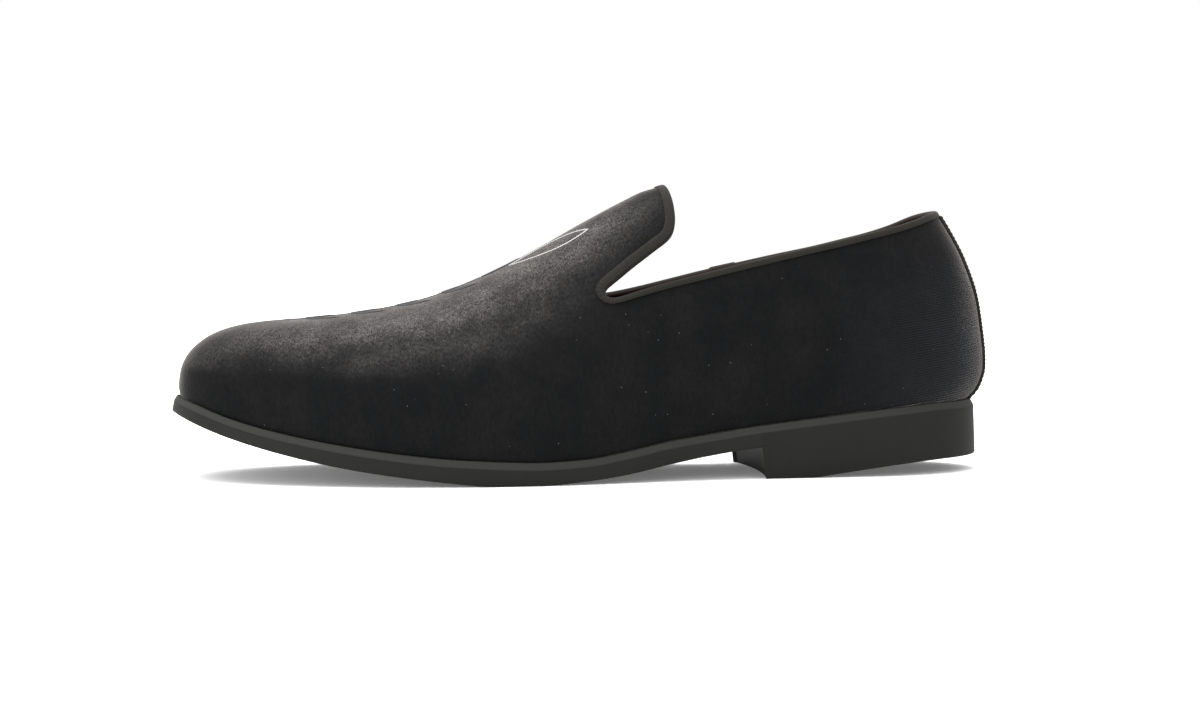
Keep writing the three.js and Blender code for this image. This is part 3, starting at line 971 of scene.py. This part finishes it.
@dataclass(frozen=True)
class Thread(Finish):
    """Embroidery thread: twisted strands with a silky shine along them."""

    name: str = "black_thread"
    colour: str = "#08080a"
    roughness: float = 0.6
    metallic: float = 0.0
    strand_mm: float = 0.7
    slant_degrees: float = 35.0
    relief_mm: float = 0.2

    def surface(self, tree: NodeTree) -> dict[str, object]:
        """Draws the slanted strands of the thread.

        Args:
            tree: the material's node tree.

        Returns:
            What each socket of the surface shader gets: a value, an output or a node.
        """
        node = partial(add_node, tree)
        cloth = node("UVMap", uv_map=CLOTH_MAP).outputs["UV"]
        slant = node("Mapping", {
            "Vector": cloth, "Rotation": (0, 0, math.radians(self.slant_degrees))})
        # Real strands are a third of a millimetre wide: they are drawn at twice that to show.
        strands = node("TexWave", {
            "Vector": slant, "Scale": WAVE_LENGTH / (self.strand_mm * MM)}, bands_direction="X")
        relief = node("Bump", {
            "Height": strands.outputs["Fac"], "Strength": 0.7, "Distance": self.relief_mm * MM})
        return {
            "Base Color": self.colour, "Normal": relief, "Roughness": self.roughness,
            "Metallic": self.metallic, "Specular IOR Level": 0.3}


@dataclass(frozen=True)
class OpalBoard(Finish):
    """Opal acrylic board under the shoe: even, matt white, lit faintly from below."""

    name: str = "opal_board"
    colour: str = "#f7f7f7"
    glow: float = 0.13

    def surface(self, tree: NodeTree) -> dict[str, object]:
        """Gives the plain board, which needs no nodes of its own.

        Args:
            tree: the material's node tree, not used here.

        Returns:
            A value for each socket of the surface shader.
        """
        return {
            "Base Color": self.colour, "Roughness": 0.9, "Specular IOR Level": 0.1,
            "Emission Color": self.colour, "Emission Strength": self.glow}


@dataclass(frozen=True)
class Fold:
    """A soft trough or ridge of the cloth, at a place seen from the side."""

    along: float
    up: float
    half_length: float
    half_width: float
    turn_degrees: float
    depth: float
    side: float

    def push(self, points: Array) -> Array:
        """How far the fold moves each point of the wall outward.

        Args:
            points: along, side and up.

        Returns:
            One distance for each point.
        """
        turn = math.radians(self.turn_degrees)
        dx, dz = points[:, 0] - self.along, points[:, 2] - self.up
        run = (dx * math.cos(turn) + dz * math.sin(turn)) / self.half_length
        off = (dz * math.cos(turn) - dx * math.sin(turn)) / self.half_width
        here = (np.sign(points[:, 1]) == np.sign(self.side)) | (self.side == 0)
        return here * self.depth * np.exp(-(run**2) - off**2)


@dataclass
class Upper:
    """The velvet upper: one wall of cloth with its lining, drawn over the last."""

    last: Last
    topline: Topline
    wall_mm: float = 2.0
    tucked_mm: float = 1.0
    fan_steps: int = 34
    station_steps: int = 120
    wall_steps: int = 76
    foot_spacing: float = 0.45
    core_height: float = 0.6
    still_share: float = 0.06
    drop_from_mm: float = 160.0
    folds: tuple[Fold, ...] = (
        Fold(104, 52, 20, 5.5, 62, -0.55, 0),
        Fold(118, 57, 20, 5.0, 66, -0.45, 0),
        Fold(111, 54, 20, 4.0, 64, 0.35, 0),
        Fold(205, 44, 26, 15, 8, -0.9, 0),
        Fold(150, 52, 12, 9, -40, -0.5, -1),
        Fold(62, 44, 16, 7, 10, -0.35, -1),
        Fold(246, 62, 20, 10, 14, -0.5, -1),
        Fold(236, 58, 22, 11, -10, -0.6, 1),
    )
    skin: Object = field(init=False)
    tree: BVHTree = field(init=False)
    edge: Array = field(init=False)
    edge_out: Array = field(init=False)

    def draw_skin(self) -> None:
        """Draws the outside of the cloth as a full form, before the opening is cut."""
        spokes = self.last.spokes(self.fan_steps, np.linspace(0, 1, self.station_steps + 1))
        even = np.linspace(0, 1, self.wall_steps + 1)
        # The rows stand closer together near the sole, where the wall turns in.
        crowded = even * (self.foot_spacing + 2 * (1 - self.foot_spacing) * even)
        shares = np.where(even < 0.5, crowded, even)
        flat = np.array([self.last.wall(spokes, float(share)) for share in shares])
        outward = flat - flat[-1][None] * (1, 1, self.core_height)
        outward /= np.maximum(np.linalg.norm(outward, axis=2, keepdims=True), 1e-6)
        push = sum(fold.push(flat.reshape(-1, 3)) for fold in self.folds).reshape(flat.shape[:2])
        foot, crown = (np.clip(s / self.still_share, 0, 1)[:, None] for s in (shares, 1 - shares))
        flat = flat + outward * (push * foot * crown)[..., None]
        climbed = np.cumsum(np.linalg.norm(np.diff(flat, axis=0), axis=2), axis=0)
        girth = np.concatenate([np.zeros((1, flat.shape[1])), climbed])
        self.skin = laid_grid("upper", flat, np.stack([flat[..., 0], girth], axis=-1), outward=False)

    def edge_loop(self) -> tuple[Array, Array]:
        """Finds the topline on the cloth.

        Returns:
            Its points in order and the outward direction at each.
        """
        mesh = bmesh.new()
        mesh.from_mesh(self.skin.data)
        points = from_frame(np.array([v.co for v in mesh.verts]))
        above = self.topline.above(points)
        normal = np.array([v.normal for v in mesh.verts])
        crossing: dict[int, tuple[Array, ...]] = {}
        for edge in mesh.edges:
            a, b = (v.index for v in edge.verts)
            if (above[a] < 0) != (above[b] < 0):
                t = above[a] / (above[a] - above[b])
                crossing[edge.index] = tuple(v[a] + t * (v[b] - v[a]) for v in (points, normal))
        steps: dict[int, list[int]] = {key: [] for key in crossing}
        for face in mesh.faces:
            hit = [e.index for e in face.edges if e.index in crossing]
            if len(hit) == 2:
                steps[hit[0]].append(hit[1])
                steps[hit[1]].append(hit[0])
        mesh.free()
        # The topline is the longest chain of faces that the cut runs through.
        best: list[int] = []
        seen: set[int] = set()
        for first in steps:
            chain: list[int] = []
            ahead = [] if first in seen else [first]
            while ahead:
                here = ahead[0]
                seen.add(here)
                chain.append(here)
                ahead = [k for k in steps[here] if k not in seen]
            best = max(best, chain, key=len)
        return np.array([crossing[k][0] for k in best]), np.array([crossing[k][1] for k in best])

    def cut_opening(self) -> None:
        """Cuts the collar and throat out of the cloth, a little below the ribbon's fold."""
        mesh = bmesh.new()
        mesh.from_mesh(self.skin.data)
        points = from_frame(np.array([v.co for v in mesh.verts]))
        above = dict(zip(mesh.verts, self.topline.above(points) + self.tucked_mm))
        cut: set[bmesh.types.BMVert] = set()
        for edge in list(mesh.edges):
            a, b = edge.verts
            if (above[a] < 0) != (above[b] < 0):
                _, corner = bmesh.utils.edge_split(edge, a, above[a] / (above[a] - above[b]))
                above[corner] = 0.0
                cut.add(corner)
        for face in list(mesh.faces):
            on = [v for v in face.verts if v in cut]
            if len(on) == 2:
                bmesh.utils.face_split(face, on[0], on[1])
        doomed = [f for f in mesh.faces if sum(above[v] for v in f.verts) > 0]
        bmesh.ops.delete(mesh, geom=doomed, context="FACES")
        mesh.to_mesh(self.skin.data)
        mesh.free()

    def build(self, velvet: Material, lining: Material) -> Object:
        """Makes the wall and its lining.

        Args:
            velvet: the outside.
            lining: the inside.

        Returns:
            The upper.
        """
        self.draw_skin()
        mesh = bmesh.new()
        mesh.from_mesh(self.skin.data)
        self.tree = BVHTree.FromBMesh(mesh)
        mesh.free()
        self.edge, self.edge_out = self.edge_loop()
        self.cut_opening()
        for material in (velvet, lining):
            self.skin.data.materials.append(material)
        apply_modifier(
            self.skin, "SOLIDIFY", thickness=self.wall_mm * MM, offset=-1.0, use_even_offset=True,
            material_offset=1, material_offset_rim=1)
        select_only(self.skin)
        bpy.ops.object.shade_smooth()
        return finish_piece(self.skin, (), ["upper"])

    def meet(
        self, start: Sequence[float], onward: Sequence[float], outward: Sequence[float]
    ) -> tuple[Array, Array] | None:
        """Finds where a straight line first meets the cloth.

        Args:
            start: along, side and up of the line's start.
            onward: the line's direction.
            outward: the side that the cloth's outside is on.

        Returns:
            The point on the cloth and the outward direction there, or None where there is no cloth.
        """
        hit, normal, _, _ = self.tree.ray_cast(Vector(to_frame(np.array(start))), Vector(onward))
        if hit is None:
            return None
        away = normal if normal.dot(Vector(outward)) > 0 else -normal
        return from_frame(np.array(hit)), np.array(away)

    def on_cloth(self, along: float, side: float) -> tuple[Array, Array]:
        """Drops a point from above onto the cloth.

        Args:
            along: its place along the shoe.
            side: its place across the shoe.

        Returns:
            The point on the cloth and the outward direction there.
        """
        found = self.meet((along, side, self.drop_from_mm), (0, 0, -1), (0, 0, 1))
        if found is None:
            raise ValueError(f"no cloth under {along:.1f}, {side:.1f}")
        return found


@dataclass
class ToplineRibbon:
    """The ribbon that is folded over the edge of the collar, throat and tongue."""

    upper: Upper
    ribbon_mm: float = 2.7
    stand_mm: float = 0.65
    cloth_mm: float = 0.5
    spacing_mm: float = 0.9
    turn_mm: float = 0.9
    core_mm: float = 1.2
    hem_mm: float = 0.15
    swell_mm: float = 0.06
    crown_share: float = 0.6
    joint_along: float = 206.0
    joint_length: float = 10.0
    joint_stand_mm: float = 0.45
    fold_steps: int = 9
    probe_mm: float = 1.5
    path_passes: int = 3
    away_passes: int = 6
    down_passes: int = 4
    width_passes: int = 5

    def path(self) -> tuple[Array, Array, Array]:
        """Lays the middle of the fold along the cloth's edge, at even spacing.

        Returns:
            Its points, the direction away from the cloth and the one down the wall at each.
        """
        rings = [np.vstack([rows, rows[:1]]) for rows in (self.upper.edge, self.upper.edge_out)]
        run = travelled(rings[0])
        wanted = np.linspace(0, run[-1], int(run[-1] / self.spacing_mm), endpoint=False)
        path, away = (np.stack([np.interp(wanted, run, ring[:, k]) for k in range(3)], axis=1)
                      for ring in rings)
        path, away = smoothed(path, self.path_passes), unit(smoothed(away, self.away_passes))
        onward = np.roll(path, -1, axis=0) - np.roll(path, 1, axis=0)
        down = unit(np.cross(onward, away))
        if np.median(self.upper.topline.above(path + self.probe_mm * down)) > 0:
            down = -down
        return path, away, unit(smoothed(down, self.down_passes))

    def section(self, width: float, extra: float) -> list[tuple[float, float]]:
        """The ribbon cut across: down the outside, round the cloth's edge and up the inside.

        Args:
            width: how far the ribbon reaches down the wall.
            extra: how far it stands up more, where its two ends lap.

        Returns:
            Points of down and away.
        """
        outer = self.stand_mm + extra
        inner = -self.upper.wall_mm - self.stand_mm - extra
        middle, half = (outer + inner) / 2, (outer - inner) / 2
        fold = [(self.turn_mm - (self.turn_mm + extra) * math.sin(t), middle + half * math.cos(t))
                for t in np.linspace(0, math.pi, self.fold_steps)]
        leg, lip, crown = self.cloth_mm, width - 0.8 * self.hem_mm, width * self.crown_share
        return [
            (lip, outer - leg), (width, outer - leg / 2), (width - self.hem_mm, outer),
            (crown, outer + self.swell_mm), *fold, (crown, inner),
            (width - self.hem_mm, inner), (width, inner + leg / 2), (lip, inner + leg),
            (self.core_mm, inner + leg), (self.core_mm, outer - leg)]

    def build(self, ribbon: Material) -> Object:
        """Folds the ribbon along the cloth's edge.

        Args:
            ribbon: its material.

        Returns:
            The ribbon.
        """
        path, away, down = self.path()
        share = self.upper.topline.ribbon_share(path)[:, None]
        width = self.ribbon_mm * smoothed(share, self.width_passes)[:, 0]
        near = np.abs(path[:, 0] - self.joint_along) < self.joint_length / 2
        lift = np.where(near & (path[:, 1] > 0), self.joint_stand_mm, 0.0)
        ring = np.array([self.section(w, extra) for w, extra in zip(width, lift)])
        piece = swept("topline_binding", path, away, down, ring, closed=True)
        return finish_piece(piece, [ribbon], ["topline_binding"])


@dataclass
class BackStrip:
    """The ribbon strip over the seam at the back of the heel."""

    upper: Upper
    width_mm: float = 12.0
    gap_mm: float = 0.1
    thickness_mm: float = 1.1
    edge_mm: float = 0.8
    edge_share: float = 0.35
    rib_pitch_mm: float = 1.5
    rib_relief_mm: float = 0.10
    foot_mm: float = 26.5
    head_mm: float = 93.7
    row_mm: float = 0.25
    columns: int = 15
    inside_along: float = 255.0

    def build(self, ribbon: Material) -> Object:
        """Lays the strip on the back of the cloth, from the sole up to the topline.

        Args:
            ribbon: its material.

        Returns:
            The strip.
        """
        half = self.width_mm / 2
        across = np.linspace(-half, half, self.columns)
        crown = np.clip((half - np.abs(across)) / self.edge_mm, 0, 1) ** 0.5
        heights = np.arange(self.foot_mm, self.head_mm, self.row_mm)
        backward = (1, 0, 0)
        rows = []
        for up in heights:
            ring = [self.upper.meet((self.inside_along, side, up), backward, backward)
                    for side in across]
            if any(spot is None for spot in ring):
                break
            rib = self.rib_relief_mm * math.cos(2 * math.pi * up / self.rib_pitch_mm)
            rise = (self.thickness_mm + rib) * (self.edge_share + (1 - self.edge_share) * crown)
            top = [p + n * (self.gap_mm + r) for (p, n), r in zip(ring, rise)]
            under = [p + n * self.gap_mm for p, n in ring[::-2]]
            rows.append(top + under + top[:1])
        places = capped(np.array(rows))
        run = heights[np.clip(np.arange(-1, len(rows) + 1), 0, len(rows) - 1)]
        girth = np.concatenate([across, across[::-2], across[:1]])
        cloth = np.stack(np.meshgrid(run, girth, indexing="ij"), axis=-1)
        piece = laid_grid("back_strip", places, cloth)
        return finish_piece(piece, [ribbon], ["back_strip"])


@dataclass
class Sole:
    """The moulded rubber sole with its lip, arch, hollow heel breast and ribbed heel."""

    last: Last
    lip_height: float = 2.6
    lip_slope: float = 1.3
    lip_round: float = 0.4
    edge_flare: float = 0.6
    edge_rise: float = 0.6
    breast_share: float = 0.712
    breast_lean: float = 1.5
    breast_hollow: float = 3.2
    breast_half_share: float = 0.35
    breast_fade: float = 26.0
    fan_steps: int = 40
    waist_steps: int = 96
    heel_steps: int = 36
    under_steps: int = 12
    under_reach: float = 0.94
    foot_inset: float = 0.8
    top_shares: tuple[float, ...] = (0.95, 0.8, 0.55, 0.3, 0.0)
    rib_pitch: float = 1.65
    rib_depth: float = 0.55
    rib_start: float = 0.868
    rib_end: float = 0.992
    blade_share: float = 0.75
    blade_width: float = 1.2
    crease_degrees: float = 38.0

    def underside(self, along: Array) -> Array:
        """Height of the whole underside, with the step of the heel breast.

        Args:
            along: places along the shoe, before the breast is hollowed.

        Returns:
            The heights there.
        """
        breast = self.breast_share * self.last.sole_length
        front = breast - self.breast_lean
        waist = self.last.underside(np.minimum(along, front))
        heel = self.last.heel_tread(np.maximum(along, breast))
        return waist + (heel - waist) * np.clip((along - front) / self.breast_lean, 0, 1)

    def stations(self) -> Array:
        """Places the straight spokes, closer together at the heel breast.

        Returns:
            Shares of the way from the toe pole to the heel pole.
        """
        toe, heel, breast = (share * self.last.sole_length for share in (
            self.last.toe_pole, self.last.heel_pole, self.breast_share))
        front = breast - self.breast_lean
        spread = np.concatenate([
            np.linspace(toe, front - 2, self.waist_steps),
            front + np.array([-0.8, -0.3, 0.0, 0.3]), breast + np.array([-0.3, 0.0, 0.4, 1.0]),
            np.linspace(breast + 2, heel, self.heel_steps)])
        return (spread - toe) / (heel - toe)

    def edge_profile(self) -> list[tuple[float, float, float, float]]:
        """The sole's edge cut across, from its foot to the top of the lip.

        Returns:
            For each row how far it stands out, its share of the way from the underside to the top,
            its rise over the underside and its drop below the top.
        """
        flare, rise = self.edge_flare, self.edge_rise
        slope, height = self.lip_slope, self.lip_height
        drop = height + self.lip_round
        edge = [(flare - 0.22, 0.0, rise / 5, 0.0), (flare, 0.0, rise, 0.0)]
        edge += [(flare * (1 - share), share, rise, drop) for share in (0.35, 0.7)]
        lip = [
            (0.0, drop), (-0.04, height), (-0.2, height - 0.45), (-slope * 0.5, height * 0.5),
            (-slope * 0.86, 0.45), (-slope * 0.98, 0.12), (-slope - 0.3, 0.0)]
        return edge + [(out, 1.0, 0.0, down) for out, down in lip]

    def build(self, rubber: Material) -> Object:
        """Moulds the sole and cuts the ribs of its heel.

        Args:
            rubber: its material.

        Returns:
            The sole.
        """
        spokes = self.last.spokes(self.fan_steps, self.stations())
        rows = [self.under_row(spokes, share, 0.0)
                for share in np.linspace(0, self.under_reach, self.under_steps)]
        rows.append(self.under_row(spokes, 1.0, -self.foot_inset))
        rows += [self.side_row(spokes, spokes.reach + out, share, rise, drop)
                 for out, share, rise, drop in self.edge_profile()]
        rows += [self.side_row(spokes, (spokes.reach - self.lip_slope) * share, 1.0, 0.0, 0.0)
                 for share in self.top_shares]
        places = np.array(rows)
        piece = laid_grid("sole", places, places[..., :2])
        self.cut_ribs(piece)
        select_only(piece)
        bpy.ops.object.shade_smooth_by_angle(angle=math.radians(self.crease_degrees))
        return finish_piece(piece, [rubber], ["sole"])

    def side_row(
        self, spokes: Spokes, distance: Array, share: float, rise: float, drop: float
    ) -> Array:
        """One row of points round the sole.

        Args:
            spokes: the lines round the shoe.
            distance: how far out on each.
            share: 0 at the underside and 1 at the top.
            rise: how far over the underside the share starts.
            drop: how far below the top it ends.

        Returns:
            The row's points.
        """
        along, side = spokes.place(distance)
        low, high = self.underside(along) + rise, self.last.sole_top(along) - drop
        return np.stack([along, side, (1 - share) * low + share * high], axis=1)

    def under_row(self, spokes: Spokes, share: float, off: float) -> Array:
        """One row of the underside, with the heel breast drawn back at its middle.

        Args:
            spokes: the lines round the shoe.
            share: share of the way out.
            off: extra distance out.

        Returns:
            The row's points.
        """
        along, side = spokes.place(spokes.reach * share + off)
        breast = self.breast_share * self.last.sole_length
        half = self.last.ball_width * self.breast_half_share
        hollow = self.breast_hollow * np.clip(1 - (side / half) ** 2, 0, None)
        fade = np.clip(1 - np.abs(along - breast) / self.breast_fade, 0, 1)
        ease = fade * fade * (3 - 2 * fade)
        return np.stack([along + hollow * ease, side, self.underside(along)], axis=1)

    def cut_ribs(self, piece: Object) -> None:
        """Cuts a row of shallow grooves across the back of the heel.

        Args:
            piece: the sole.
        """
        first, last = self.rib_start * self.last.sole_length, self.rib_end * self.last.sole_length
        select_only()
        bpy.ops.mesh.primitive_cylinder_add(vertices=3, radius=1, depth=1)
        pattern = bpy.context.object
        pattern.data.transform(Matrix.Rotation(math.radians(90), 4, "X"))
        corners = np.array([v.co for v in pattern.data.vertices])
        corners -= corners.mean(axis=0)
        deep = self.rib_depth * self.blade_share
        corners *= (deep, self.blade_width * self.last.ball_width, deep)
        blades = []
        for along in np.arange(first, last, self.rib_pitch):
            blade = pattern.copy()
            blade.data = pattern.data.copy()
            bpy.context.collection.objects.link(blade)
            spot = np.array([along, 0.0, float(self.last.heel_tread(along))])
            for v, corner in zip(blade.data.vertices, corners):
                v.co = to_frame(spot + corner)
            blades.append(blade)
        bpy.data.objects.remove(pattern)
        cutter = joined(blades)
        bpy.ops.object.mode_set(mode="EDIT")
        turn_out()
        bpy.ops.object.mode_set(mode="OBJECT")
        apply_modifier(piece, "BOOLEAN", object=cutter, operation="DIFFERENCE", solver="EXACT")
        bpy.data.objects.remove(cutter)


@dataclass
class Insole:
    """The sock on its board, inside the shoe."""

    last: Last
    wall_mm: float = 2.0
    clearance: float = 0.5
    gap: float = 0.3
    thickness: float = 3.0
    fan_steps: int = 20
    station_steps: int = 60

    def build(self, leather: Material) -> Object:
        """Cuts the sock to the inside of the shoe, with a soft edge.

        Args:
            leather: its material.

        Returns:
            The sock.
        """
        spokes = self.last.spokes(self.fan_steps, np.linspace(0, 1, self.station_steps + 1))
        reach = spokes.reach - self.last.lasting_inset - self.wall_mm - self.clearance
        high = self.thickness
        bottom = [(0.0, 0.0, 0.0), (0.5, 0.0, 0.0), (0.9, 0.0, 0.0), (1.0, -0.5, 0.0)]
        edge = [(1.0, 0.0, 0.5), (1.0, 0.0, high - 0.9), (1.0, -0.3, high - 0.3), (1.0, -1.0, high)]
        top = [(share, 0.0, high) for share in (0.9, 0.7, 0.4, 0.0)]
        rows = []
        for share, off, lift in bottom + edge + top:
            along, side = spokes.place(reach * share + off)
            up = self.last.sole_top(along) + self.gap + lift
            rows.append(np.stack([along, side, up], axis=1))
        places = np.array(rows)
        piece = laid_grid("insole", places, places[..., :2])
        return finish_piece(piece, [leather], ["insole"])


@dataclass
class Embroidery:
    """A plain sprig: raised black leaves on the vamp and two silver leaf outlines above them."""

    upper: Upper
    leaf_length: float = 15.0
    leaf_width: float = 5.6
    leaf_relief: float = 0.3
    leaf_bow: float = 1.4
    leaf_tip: float = 0.12
    leaf_turn_degrees: float = 38.0
    leaf_offset: float = 1.2
    leaf_steps: int = 22
    leaf_shape: tuple[float, float] = (0.8, 0.9)
    stem_start: float = 40.0
    stem_end: float = 112.0
    stem_radius: float = 0.6
    stem_steps: int = 70
    first_pair: float = 8.0
    last_pair: float = 14.0
    pairs: int = 4
    silver_radius: float = 0.33
    silver_relief: float = 0.5
    silver_foot: float = 122.0
    silver_tip: float = 150.0
    silver_belly: float = 5.2
    silver_shape: float = 0.85
    silver_lean: tuple[float, float] = (5.0, 7.0)
    silver_steps: int = 40
    crown_steps: int = 9
    full_relief_width: float = 0.8
    root_share: float = 0.7
    rooted: float = 0.3

    def middle(self, along: float) -> float:
        """The side place of the vamp's middle line."""
        return float(self.upper.last.ridge_side(along))

    def lay(self, name: str, plan: Array, widths: Array, relief: float) -> Object:
        """Lays a raised strand or leaf on the cloth.

        Args:
            name: the piece's name.
            plan: its middle line seen from above.
            widths: its half width at each point.
            relief: how far it stands up.

        Returns:
            The piece.
        """
        spots = [self.upper.on_cloth(a, s) for a, s in plan]
        centres, up = np.array([p for p, _ in spots]), unit(np.array([n for _, n in spots]))
        across = unit(np.cross(np.gradient(centres, axis=0), up))
        ring = []
        for w in widths:
            rise = relief * min(1, w / self.full_relief_width)
            crown = [(w * math.cos(t), rise * math.sin(t))
                     for t in np.linspace(0, math.pi, self.crown_steps)]
            root = self.root_share * w
            ring.append([*crown, (-root, -self.rooted), (root, -self.rooted)])
        return swept(name, centres, up, across, np.array(ring), closed=False)

    def leaf(self, name: str, base: Array, turn: float) -> Object:
        """One raised satin leaf.

        Args:
            name: the piece's name.
            base: along and side of its foot.
            turn: its direction in plan, in radians.

        Returns:
            The leaf.
        """
        t = np.linspace(0, 1, self.leaf_steps)
        bow = self.leaf_bow * np.sin(math.pi * t) * np.sign(math.sin(turn))
        ahead = np.array([math.cos(turn), math.sin(turn)])
        aside = np.array([-math.sin(turn), math.cos(turn)])
        plan = base + self.leaf_length * t[:, None] * ahead + bow[:, None] * aside
        early, full = self.leaf_shape
        widths = self.leaf_width / 2 * np.sin(math.pi * t**early) ** full
        return self.lay(name, plan, np.maximum(widths, self.leaf_tip), self.leaf_relief)

    def outline(self, name: str, hand: Hand) -> Object:
        """One pointed leaf outline in silver thread beside the instep.

        Args:
            name: the piece's name.
            hand: the side of the middle line.

        Returns:
            The outline.
        """
        t = np.linspace(0, 1, self.silver_steps)
        spine = self.silver_foot + (self.silver_tip - self.silver_foot) * t
        belly = self.silver_belly * np.sin(math.pi * t) ** self.silver_shape
        lean = self.silver_lean[0] + self.silver_lean[1] * t
        side = np.array([self.middle(a) for a in spine])
        near, far = (np.stack([spine, side + hand.value * (lean + bulge)], axis=1)
                     for bulge in (-belly, belly))
        plan = np.vstack([near, far[-2:0:-1]])
        return self.lay(name, plan, np.full(len(plan), self.silver_radius), self.silver_relief)

    def build(self, black: Material, silver: Material) -> list[Object]:
        """Stitches the sprig.

        Args:
            black: the raised leaves and stem.
            silver: the outlines.

        Returns:
            The black piece and the silver piece.
        """
        spine = np.linspace(self.stem_start, self.stem_end, self.stem_steps)
        plan = np.stack([spine, [self.middle(a) for a in spine]], axis=1)
        stem = self.lay("sprig_black", plan, np.full(len(plan), self.stem_radius), self.leaf_relief)
        leaves = []
        span = (self.stem_start + self.first_pair, self.stem_end - self.last_pair)
        for k, along in enumerate(np.linspace(*span, self.pairs)):
            for hand in Hand:
                base = np.array([along, self.middle(along) + hand.value * self.leaf_offset])
                turn = hand.value * math.radians(self.leaf_turn_degrees)
                leaves.append(self.leaf(f"leaf_{k}_{hand.name.lower()}", base, turn))
        top = np.array([self.stem_end, self.middle(self.stem_end)])
        leaves.append(self.leaf("leaf_top", top, 0.0))
        sprig = finish_piece(joined([stem, *leaves]), [black])
        outlines = joined([self.outline(f"silver_{hand.name.lower()}", hand) for hand in Hand])
        outlines.name = "sprig_silver"
        return [sprig, finish_piece(outlines, [silver])]


@dataclass(frozen=True)
class SoftBox:
    """A square lamp turned to the shoe: its place and size in metres and its power in watts."""

    name: str
    place: tuple[float, float, float]
    size: float
    power: float


@dataclass
class Studio:
    """White board, soft lights and the camera at the photograph's angle."""

    focal_px: float = 3253.0
    image_px: float = 1200.0
    sensor_mm: float = 36.0
    distance: float = 1200.0
    azimuth_degrees: float = -8.2
    elevation_degrees: float = 3.54
    target: tuple[float, float, float] = (5.0, 1.9, 41.3)
    board_size: float = 3.2
    clip_end: float = 50.0
    wall_light: float = 0.62
    ceiling_light: float = 1.9
    boxes: tuple[SoftBox, ...] = (
        SoftBox("top_box", (-0.3, 0.25, 1.5), 1.8, 37.0),
        SoftBox("front_box", (-0.6, -1.5, 0.3), 1.0, 7.0),
        SoftBox("side_box", (-1.35, -0.25, 0.22), 0.7, 2.0),
    )

    def build(self) -> None:
        """Sets up the board, the lights and the camera."""
        self.board()
        self.room()
        self.lights()
        self.camera()

    def board(self) -> None:
        """Lays the board under the shoe."""
        select_only()
        bpy.ops.mesh.primitive_plane_add(size=self.board_size)
        floor = bpy.context.object
        floor.name = "board"
        floor.data.materials.append(OpalBoard().make())

    def room(self) -> None:
        """Sets a white room round the board, which gives more light from its ceiling than its walls."""
        world = bpy.data.worlds.new("room")
        bpy.context.scene.world = world
        world.use_nodes = True
        world.node_tree.nodes.clear()
        node = partial(add_node, world.node_tree)
        white = (1, 1, 1, 1)
        seen = node("Background", {"Color": white, "Strength": 1.0})
        way = node("SeparateXYZ", {0: node("TexCoord").outputs["Generated"]})
        height = node("MapRange", {
            "Value": way.outputs["Z"], "To Min": self.wall_light, "To Max": self.ceiling_light})
        lit = node("Background", {"Color": white, "Strength": height})
        ray = node("LightPath").outputs["Is Camera Ray"]
        mixed = node("MixShader", {0: ray, 1: lit, 2: seen})
        node("OutputWorld", {"Surface": mixed})

    def lights(self) -> None:
        """Hangs the soft boxes and turns them to the shoe."""
        for box in self.boxes:
            light = bpy.data.lights.new(box.name, "AREA")
            light.size = box.size
            light.energy = box.power
            lamp = bpy.data.objects.new(box.name, light)
            bpy.context.collection.objects.link(lamp)
            lamp.location = box.place
            lamp.rotation_euler = (-Vector(box.place)).to_track_quat("-Z", "Y").to_euler()

    def camera(self) -> None:
        """Points the camera as in the photograph."""
        data = bpy.data.cameras.new("camera")
        data.sensor_width = self.sensor_mm
        data.lens = self.focal_px * self.sensor_mm / self.image_px
        data.clip_end = self.clip_end
        camera = bpy.data.objects.new("camera", data)
        bpy.context.collection.objects.link(camera)
        turn, lift = math.radians(self.azimuth_degrees), math.radians(self.elevation_degrees)
        back = Vector((
            math.sin(turn) * math.cos(lift), -math.cos(turn) * math.cos(lift), math.sin(lift)))
        camera.location = (Vector(self.target) + self.distance * back) * MM
        camera.rotation_euler = back.to_track_quat("Z", "Y").to_euler()
        bpy.context.scene.camera = camera


def main() -> None:
    """Builds the shoe piece by piece, reports each piece and sets up its picture."""
    logging.basicConfig(level=logging.INFO, format="%(name)s %(message)s")
    last = Last()
    velvet, ribbon = Velvet().make(), Grosgrain().make()
    lining = LiningLeather().make()
    silver = Thread(name="silver_thread", colour="#a9a9a6", roughness=0.4, metallic=0.4)
    upper = Upper(last, Topline(last))
    for piece in (
        upper.build(velvet, lining),
        ToplineRibbon(upper).build(ribbon),
        BackStrip(upper).build(ribbon),
        Sole(last).build(MouldedRubber().make()),
        Insole(last).build(lining),
        *Embroidery(upper).build(Thread().make(), silver.make()),
    ):
        LOG.info("%s: %d faces", piece.name, len(piece.data.polygons))
    Studio().build()
    bpy.context.scene.view_settings.view_transform = "Standard"


if __name__ == "__main__":
    main()
